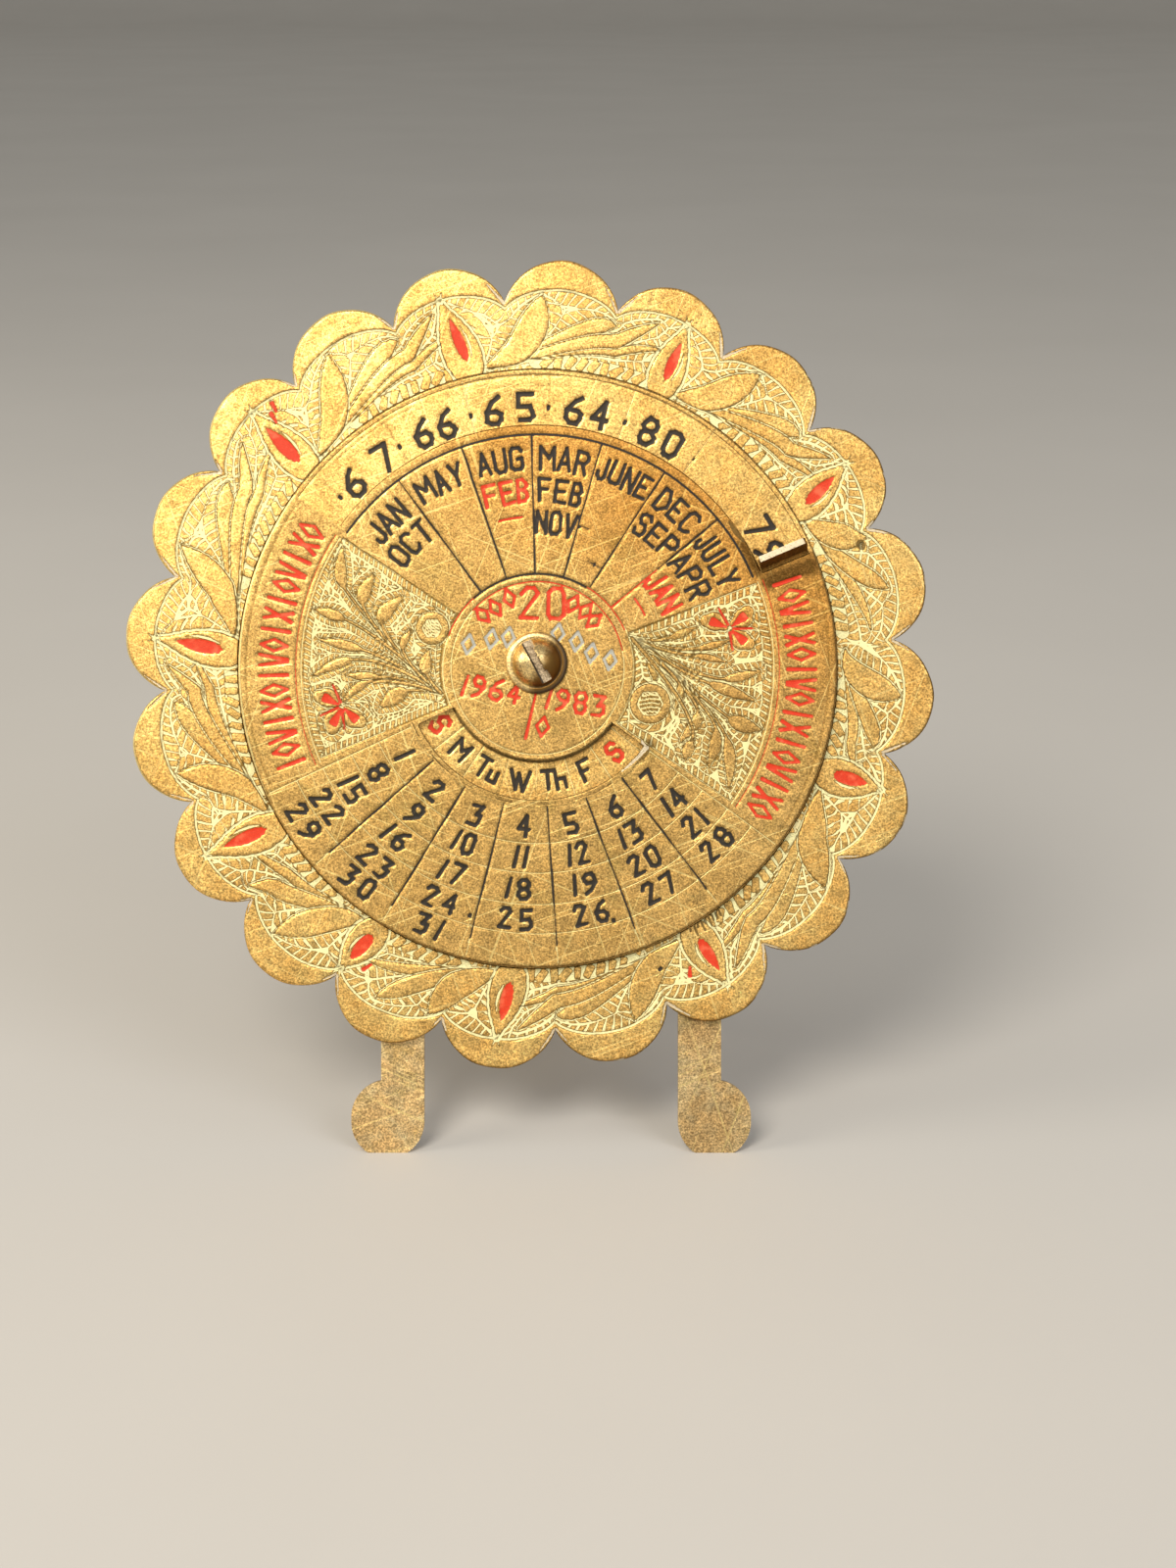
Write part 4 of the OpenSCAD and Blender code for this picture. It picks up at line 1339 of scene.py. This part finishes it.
# Nearer the middle, every fourth or every second column is enough.
FOURTH_TO, SECOND_TO = 9, 18.5
dial_rows = [(r, 4) for r in rows([DIAL_BORE, FOURTH_TO], 0.2)]
dial_rows += [(r, 2) for r in rows(
    [FOURTH_TO, 9.8, DAY_R0, 10.7, DAY_R1, 15.6, SECOND_TO], 0.19)[1:]]
dial_rows += [(r, 1) for r in rows(
    sorted([SECOND_TO, *DATE_RINGS, MONTHS_EDGE, YEAR_R, LIP_INNER,
            LIP_OUTER, DIAL_EDGE]), 0.22)[1:]]
front_rings = [(r, step, DIAL_FRONT) for r, step in dial_rows]
front_rings += [(DIAL_R - 0.10, 1, DIAL_FRONT - 0.02),
                (DIAL_R - 0.04, 1, DIAL_FRONT - 0.07),
                (DIAL_R, 1, DIAL_FRONT - 0.16)]
back_at = (DIAL_BORE, FOURTH_TO, DAY_R0, DAY_R1, SECOND_TO, YEAR_R,
           LIP_INNER, LIP_OUTER, DIAL_EDGE)
back_rings = [(k, DIAL_Z) for k, (r, _, _) in enumerate(front_rings)
              if r in back_at]
back_rings.append((len(front_rings) - 1, DIAL_Z + DIAL_BEVEL))
lip_column = int(np.argmin(np.abs(dial_angles - (YEAR_TO - 360))))
lip_rings = [k for k, (r, _, _) in enumerate(front_rings)
             if LIP_INNER <= r <= LIP_OUTER]
spots, heights, faces, front_count, starts = sheet_blank(
    dial_angles, front_rings, back_rings, lambda r, a: at_clock(a, r),
    in_window, {(lip_rings[0], lip_rings[-1], lip_column)})
dial_work = Engraving(spots[:front_count])
sprays = (
    spray(dial_work, 68.8, 124.5, (10.6, 3.4), (
        ((12.5, 2.8), (14.8, 3.4), (17.8, 4.6), 0.34),
        ((14.7, 1.9), (17.9, 2.2), (21.6, 3.1), 0.33),
        ((14.7, 1.6), (17.9, 1.4), (21.2, 0.7), 0.33),
        ((17.6, -1.0), (20.8, -1.2), (25.1, -0.3), 0.42),
        ((16.2, -0.5), (19.1, -1.6), (24.4, -3.6), 0.52),
        ((17.6, -2.5), (21.6, -5.6), (25.1, -6.9), 0.68),
        ((19.6, -3.9), (21.2, -7.6), (21.6, -13.4), 0.52),
        ((19.3, -3.9), (20.1, -6.7), (19.3, -11.0), 0.52),
        ((17.9, -2.8), (18.1, -4.9), (16.2, -8.1), 0.52),
        ((15.5, -0.5), (16.0, -1.8), (15.6, -4.4), 0.38),
        ((11.6, 2.6), (12.7, 1.4), (13.2, -1.3), 0.58),
        ((18.6, -5.6), (17.4, -8.3), (16.6, -10.2), 0.5)),
        ((12.7, -4.0), 2.2, 1.3), ((21.7, 4.5), (47, 129, 288))),
    spray(dial_work, 247.5, 303.8, (-10.9, -2.8), (
        ((-17.8, 3.3), (-21.7, 8.9), (-22.0, 13.5), 0.55),
        ((-18.6, 3.9), (-19.7, 7.1), (-18.5, 10.5), 0.6),
        ((-16.9, 2.5), (-17.6, 5.0), (-15.2, 8.0), 0.65),
        ((-17.8, 3.8), (-21.7, 5.5), (-25.0, 6.6), 0.5),
        ((-16.3, 1.0), (-19.5, 2.0), (-24.5, 3.2), 0.46),
        ((-14.7, -1.0), (-17.8, -1.0), (-21.4, -0.8), 0.44),
        ((-16.9, 1.1), (-20.6, 1.0), (-25.2, -0.8), 0.42),
        ((-12.9, -2.3), (-14.7, -2.6), (-17.6, -4.3), 0.7),
        ((-15.5, -1.2), (-18.8, -1.5), (-21.9, -3.7), 0.36),
        ((-14.7, 0.2), (-15.2, 2.1), (-14.4, 4.2), 0.34),
        ((-11.9, -1.8), (-12.5, -0.7), (-12.3, 1.9), 0.55)),
        ((-11.9, 4.5), 1.8, 0.95), ((-22.1, -4.3), (294, 130, 203))),
)
dial_work.follow([c for edges, shoots, knob, flower in sprays
                  for c in edges + shoots + [knob[1]] + flower[1]], 2.5)
for parts in sprays:
    cut_spray(dial_work, *parts)
for engrave in (engrave_months, rule_dates, wear_dial, engrave_dates,
                engrave_bands, engrave_middle):
    engrave(dial_work)
heights[:front_count] += dial_work.relief()
heights += 0.6 * buckle(spots + 20)


def finger_lip(first_under):
    """Points and faces of the bent tongue, from the open edge of the year
    window. first_under holds the two points below that edge."""
    edge = [starts[k] + lip_column // front_rings[k][1] for k in lip_rings]
    bend_z = DIAL_T + LIP_BEND
    bend_steps, lip_steps = 12, 9
    profile = []
    for i in range(1, bend_steps + 1):
        a = math.radians(LIP_ANGLE) * i / bend_steps
        over = (LIP_BEND * math.sin(a), bend_z - LIP_BEND * math.cos(a))
        under = ((LIP_BEND + DIAL_T) * math.sin(a),
                 bend_z - (LIP_BEND + DIAL_T) * math.cos(a))
        profile.append((over, under, 0.0))
    way = (math.cos(a), math.sin(a))
    for s in [LIP_LENGTH * i / lip_steps for i in range(1, lip_steps)] + [
            LIP_LENGTH - 0.03, LIP_LENGTH]:
        profile.append(((over[0] + s * way[0], over[1] + s * way[1]),
                        (under[0] + s * way[0], under[1] + s * way[1]), s))
    radial, across = at_clock(YEAR_TO, 1.0), at_clock(YEAR_TO - 90, 1.0)
    shares = np.array([(front_rings[k][0] - LIP_INNER)
                       / (LIP_OUTER - LIP_INNER) for k in lip_rings])
    new_spots, new_heights, new_faces, crisp = [], [], [], []
    count = len(spots)
    above, below = edge, list(first_under)
    for over, under, s in profile:
        beyond = max(0.0, s - (LIP_LENGTH - LIP_CORNER))
        outer = LIP_OUTER - (LIP_CORNER - math.sqrt(
            max(0.0, LIP_CORNER ** 2 - beyond ** 2)))
        r = LIP_INNER + (outer - LIP_INNER) * shares
        new_spots.append(np.outer(r, radial) + over[0] * across)
        new_heights.append(np.full(len(r), DIAL_Z + over[1]))
        ends = np.array([LIP_INNER, outer])
        new_spots.append(np.outer(ends, radial) + under[0] * across)
        new_heights.append(np.full(2, DIAL_Z + under[1]))
        top = list(range(count, count + len(r)))
        low = [count + len(r), count + len(r) + 1]
        count += len(r) + 2
        new_faces += [[above[i], above[i + 1], top[i + 1], top[i]][::-1]
                      for i in range(len(r) - 1)]
        new_faces.append([below[0], below[1], low[1], low[0]])
        new_faces.append([above[0], below[0], low[0], top[0]][::-1])
        new_faces.append([above[-1], below[1], low[1], top[-1]])
        crisp += [(above[0], top[0]), (above[-1], top[-1]),
                  (below[0], low[0]), (below[1], low[1])]
        above, below = top, low
    new_faces.append(above[::-1] + [below[0], below[1]])
    rim = above + below[::-1]
    crisp += list(zip(rim, rim[1:] + rim[:1]))
    return (np.concatenate(new_spots), np.concatenate(new_heights), new_faces,
            crisp, rim)


under_edge = []
for r in (LIP_INNER, LIP_OUTER):
    gaps = np.hypot(*(spots[front_count:] - at_clock(YEAR_TO, r)).T)
    under_edge.append(front_count + int(np.argmin(gaps)))
lip_spots, lip_heights, lip_faces, lip_edges, lip_end = finger_lip(under_edge)
corner_edges = wall_edges(faces, front_count) + lip_edges
spots = np.concatenate([spots, lip_spots])
heights = np.concatenate([heights, lip_heights])
dial_brass = engraved_brass("dial_brass", "#dcb168", "#bb9554", 0.50, 0.55,
                            0.5, (0.66, 1.15, 0.095, 1.2), "#e5d99e", 1.0)
dial_marks = finish_marks(dial_work, len(spots))
# Painted shade over the whole finger lip, darker than the brass round it.
dial_marks["painted_shade"][len(spots) - len(lip_spots):] = 0.05
dial_marks["bare"][lip_end] = -1.0
dial_plate = make_piece(
    "dial_plate", "dial", on_panel(*spots.T, heights), faces + lip_faces,
    dial_brass, dial_marks, corner_edges)
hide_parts("dial")


# Pivot screw: a polished dome over a filed rim with a rough sawn slot, a
# smooth shoulder that the dial turns on, and a cut thread for the nut behind.
HEAD_R, HEAD_Z, RIM_H, DOME_R, DOME_H = 3.5, 1.1, 0.5, 2.72, 2.05
HEAD_AT = np.array([-0.10, 0.60])
SLOT_TILT, SLOT_LEFT, SLOT_FLOOR = 28.0, -0.52, 1.95
SHOULDER_R, THREAD_R, THREAD_DEPTH, THREAD_PITCH = 2.5, 2.0, 0.3, 0.7
SCREW_END = -7.1


def screw_head():
    """Points, faces, and wear and painted shade of the head, laid out across
    and along its slot, whose right edge is chipped."""
    across = HEAD_R * np.sin(np.radians(np.linspace(-88, 88, 221)))
    across = np.sort(np.append(across, [SLOT_LEFT - 0.01, SLOT_LEFT + 0.01]))
    u, v = np.meshgrid(across, np.linspace(-1, 1, 181), indexing="ij")
    v = v * np.sqrt(HEAD_R ** 2 - u ** 2)
    r = np.hypot(u, v)
    ball = (DOME_R ** 2 + DOME_H ** 2) / (2 * DOME_H)
    dome = DOME_H - ball + np.sqrt(np.maximum(ball ** 2 - r ** 2, 0))
    rim = np.interp(r, (DOME_R, 2.80, 2.95, 3.26, 3.42, HEAD_R),
                    (0.06, -0.03, 0.03, -0.03, -0.16, -0.36))
    top = HEAD_Z + RIM_H + np.maximum(dome, rim)
    right = np.interp(v, (-3, -2.45, -2.38, -1.35, -1.27, 1.5, 1.62, 2.5, 3),
                      (0.42, 0.45, 0.72, 0.66, 0.43, 0.47, 0.65, 0.68, 0.6))
    right = right + 0.025 * (np.sin(9 * v) + np.sin(23 * v + 1))
    floor = SLOT_FLOOR - 0.09 * v + 0.025 * np.sin(7 * v + 3 * u)
    floor = np.where(u > 0.48, np.maximum(floor, top - 0.4), floor)
    sawn = (u > SLOT_LEFT) & (u < right) & (floor < top)
    z = np.where(sawn, floor, top)
    tilt = math.radians(SLOT_TILT)
    x = u * math.cos(tilt) - v * math.sin(tilt)
    y = u * math.sin(tilt) + v * math.cos(tilt)
    # Painted shade: darker towards the head's right and bottom, away from the light.
    tarnish = np.clip(0.38 + (0.86 * x - 0.42 * y) / DOME_R, 0, 1)
    # Grime in the groove round the dome, heavier on the shaded side, with painted shade on the
    # rim's right side and painted shadow along the slot's left wall.
    grime_and_shade = np.exp(-((r - 2.79) / 0.06) ** 2) * (0.4 + 0.6 * tarnish)
    grime_and_shade = np.maximum(grime_and_shade, np.clip((r - 3.0) / 0.3, 0, 1) * tarnish)
    grime_and_shade = np.where(sawn, u < SLOT_LEFT + 0.20, grime_and_shade)
    number = np.arange(u.size).reshape(u.shape)
    faces = np.stack([number[:-1, :-1], number[1:, :-1], number[1:, 1:],
                      number[:-1, 1:]], -1).reshape(-1, 4).tolist()
    rim = [*number[:, 0], *number[-1, 1:], *number[-2::-1, -1],
           *number[0, -2:0:-1]]
    points = np.column_stack([x.ravel(), y.ravel(), z.ravel()])
    for share, height in ((1.0, HEAD_Z + 0.08), (0.98, HEAD_Z)):
        lower = points[rim] * [share, share, 0] + [0, 0, height]
        below = list(range(len(points), len(points) + len(rim)))
        faces += [[rim[i - 1], below[i - 1], below[i], rim[i]]
                  for i in range(len(rim))]
        points, rim = np.concatenate([points, lower]), below
    faces.append(rim[::-1])
    points[:, :2] += HEAD_AT
    filed = np.clip((r - DOME_R) / 0.1, 0, 1)
    return points, faces, {"tarnish": tarnish.ravel(), "grime_and_shade": grime_and_shade.ravel(),
                           "filed": filed.ravel(),
                           "raw": sawn.ravel().astype(float)}


def screw_shaft(first):
    """Points and faces of the shoulder and the thread. first is the number
    of the first point."""
    turn = np.arange(0, 360, 5.0)
    rings = [(HEAD_Z + 0.05, SHOULDER_R), (0.03, SHOULDER_R),
             (0.0, SHOULDER_R - 0.03), (0.0, THREAD_R - THREAD_DEPTH)]
    rings = [(z, np.full(len(turn), r)) for z, r in rings]
    for z in np.arange(-0.06, SCREW_END, -THREAD_PITCH / 8):
        rise = np.abs(2 * ((z / THREAD_PITCH + turn / 360) % 1) - 1)
        r = THREAD_R - THREAD_DEPTH * np.clip(1.25 * rise - 0.12, 0, 1)
        rings.append((z, np.minimum(r, THREAD_R - (SCREW_END + 0.4 - z))))
    rings.append((SCREW_END, np.full(len(turn), THREAD_R - 0.42)))
    points = np.concatenate([
        np.column_stack([at_clock(-turn, r), np.full(len(turn), z)])
        for z, r in rings])
    n = len(turn)
    faces = [[first + k * n + i, first + (k + 1) * n + i,
              first + (k + 1) * n + (i + 1) % n, first + k * n + (i + 1) % n]
             for k in range(len(rings) - 1) for i in range(n)]
    faces.append([first + i for i in range(n)])
    faces.append([first + (len(rings) - 1) * n + i for i in range(n)][::-1])
    return points, faces


def screw_finish():
    """Brass polished on the upper left of the dome, with painted brown shade
    over its lower right, raw pale metal in the slot, and grime and painted
    shade in the groove, along the slot's left wall and on the rim's right."""
    material, tree, shader = new_material("screw_brass")
    place = panel_place(tree)
    brass = old_brass(tree, place, "#edcd88", "#bb9349", 0.35, 0.7, 0.6)
    coarse = noise(tree, place, 4.5, 4.0, 0.7)
    # Painted shade: the right and lower side of the head turns dark brown.
    shaded_side = sum_of(tree, "MULTIPLY_ADD", noise(tree, place, 0.9, 4.0), 0.7,
                   reading(tree, "tarnish"))
    shaded_side = ramp(tree, shaded_side, 0.68, 1.15)
    raw, grime_and_shade = reading(tree, "raw"), reading(tree, "grime_and_shade")
    colour = colour_mix(tree, 0.10, brass["Color"], tint("#f6ecd2"))
    colour = colour_mix(tree, shaded_side, colour, tint("#75562a"))
    bare = colour_mix(tree, ramp(tree, coarse, 0.35, 0.65), tint("#75634a"),
                      tint("#c9b592"))
    colour = colour_mix(tree, raw, colour, bare)
    # Grime, with painted shade along the slot's left wall and the rim's right side.
    dirt_and_shade = sum_of(tree, "MULTIPLY", grime_and_shade,
                  ramp(tree, coarse, 0.25, 0.55, 0.65, 1.0))
    colour = colour_mix(tree, dirt_and_shade, colour, tint("#35260f"))
    gloss = blend(tree, sum_of(tree, "MAXIMUM", shaded_side,
                               reading(tree, "filed")), 0.30, 0.42)
    rough = blend(tree, raw, gloss, 0.6)
    metal = blend(tree, sum_of(tree, "MAXIMUM", raw, dirt_and_shade), 1.0, 0.3)
    height = sum_of(tree, "MULTIPLY_ADD", coarse, 1.5, brass["Height"])
    finish_surface(tree, shader, 0.6, colour, rough, height, metal)
    return material


spots, faces, wear_and_shade = screw_head()
shaft_spots, shaft_faces = screw_shaft(len(spots))
spots = np.concatenate([spots, shaft_spots])
wear_and_shade = {key: np.pad(values, (0, len(spots) - len(values)))
        for key, values in wear_and_shade.items()}
screw = make_piece(
    "turned_screw", "panel", on_panel(*spots.T), faces + shaft_faces,
    screw_finish(), wear_and_shade)
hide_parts("pivot_screw")


# Legs, rivets, bracket, prop, washers and nut: brass parts cut, filed and
# left to tone down, kept as they were made, with painted light on the left.
def plain_brass(name, bright, dull, tarnish, specks, scratches):
    """Old brass painted lighter on the left, where the light falls, and a
    little darker on the right.
    """
    material, tree, shader = new_material(name)
    place = panel_place(tree)
    brass = old_brass(tree, place, bright, dull, tarnish, specks, scratches)
    across = wire(tree, "SeparateXYZ", {0: place}).outputs[0]
    # Painted light: lighter towards the left, where the light falls.
    lit_from_left = grey_of(tree, ramp(tree, across, -9.0, 9.0, 1.16, 0.94))
    colour = colour_mix(tree, 1.0, brass["Color"], lit_from_left, "MULTIPLY")
    finish_surface(tree, shader, 0.8, colour, brass["Roughness"],
                   brass["Height"])
    return material


leg_brass = plain_brass("leg_brass", "#e9cd96", "#bf9d68", 0.50, 0.5, 0.4)
hardware_brass = plain_brass("hardware_brass", "#dcb468", "#a07a3e", 0.5,
                             0.5, 0.4)


def soften(node, width):
    """Rounds a part's edges a little, as filing and wear leave them."""
    edges = node.modifiers.new("worn_edges", "BEVEL")
    edges.width = width * MM
    edges.segments = 2
    edges.limit_method = "ANGLE"
    edges.angle_limit = math.radians(40)


for name in ("left_leg", "right_leg", "rear_prop", "prop_bracket"):
    node = frame["nodes"][name]
    soften(node, 0.12)
    node.data.materials.clear()
    node.data.materials.append(leg_brass)
for name in ("leg_rivets", "bracket_rivets", "hinge_pin", "dial_washer",
             "back_washer", "spring_washer", "pivot_nut"):
    node = frame["nodes"][name]
    node.data.materials.clear()
    node.data.materials.append(hardware_brass)
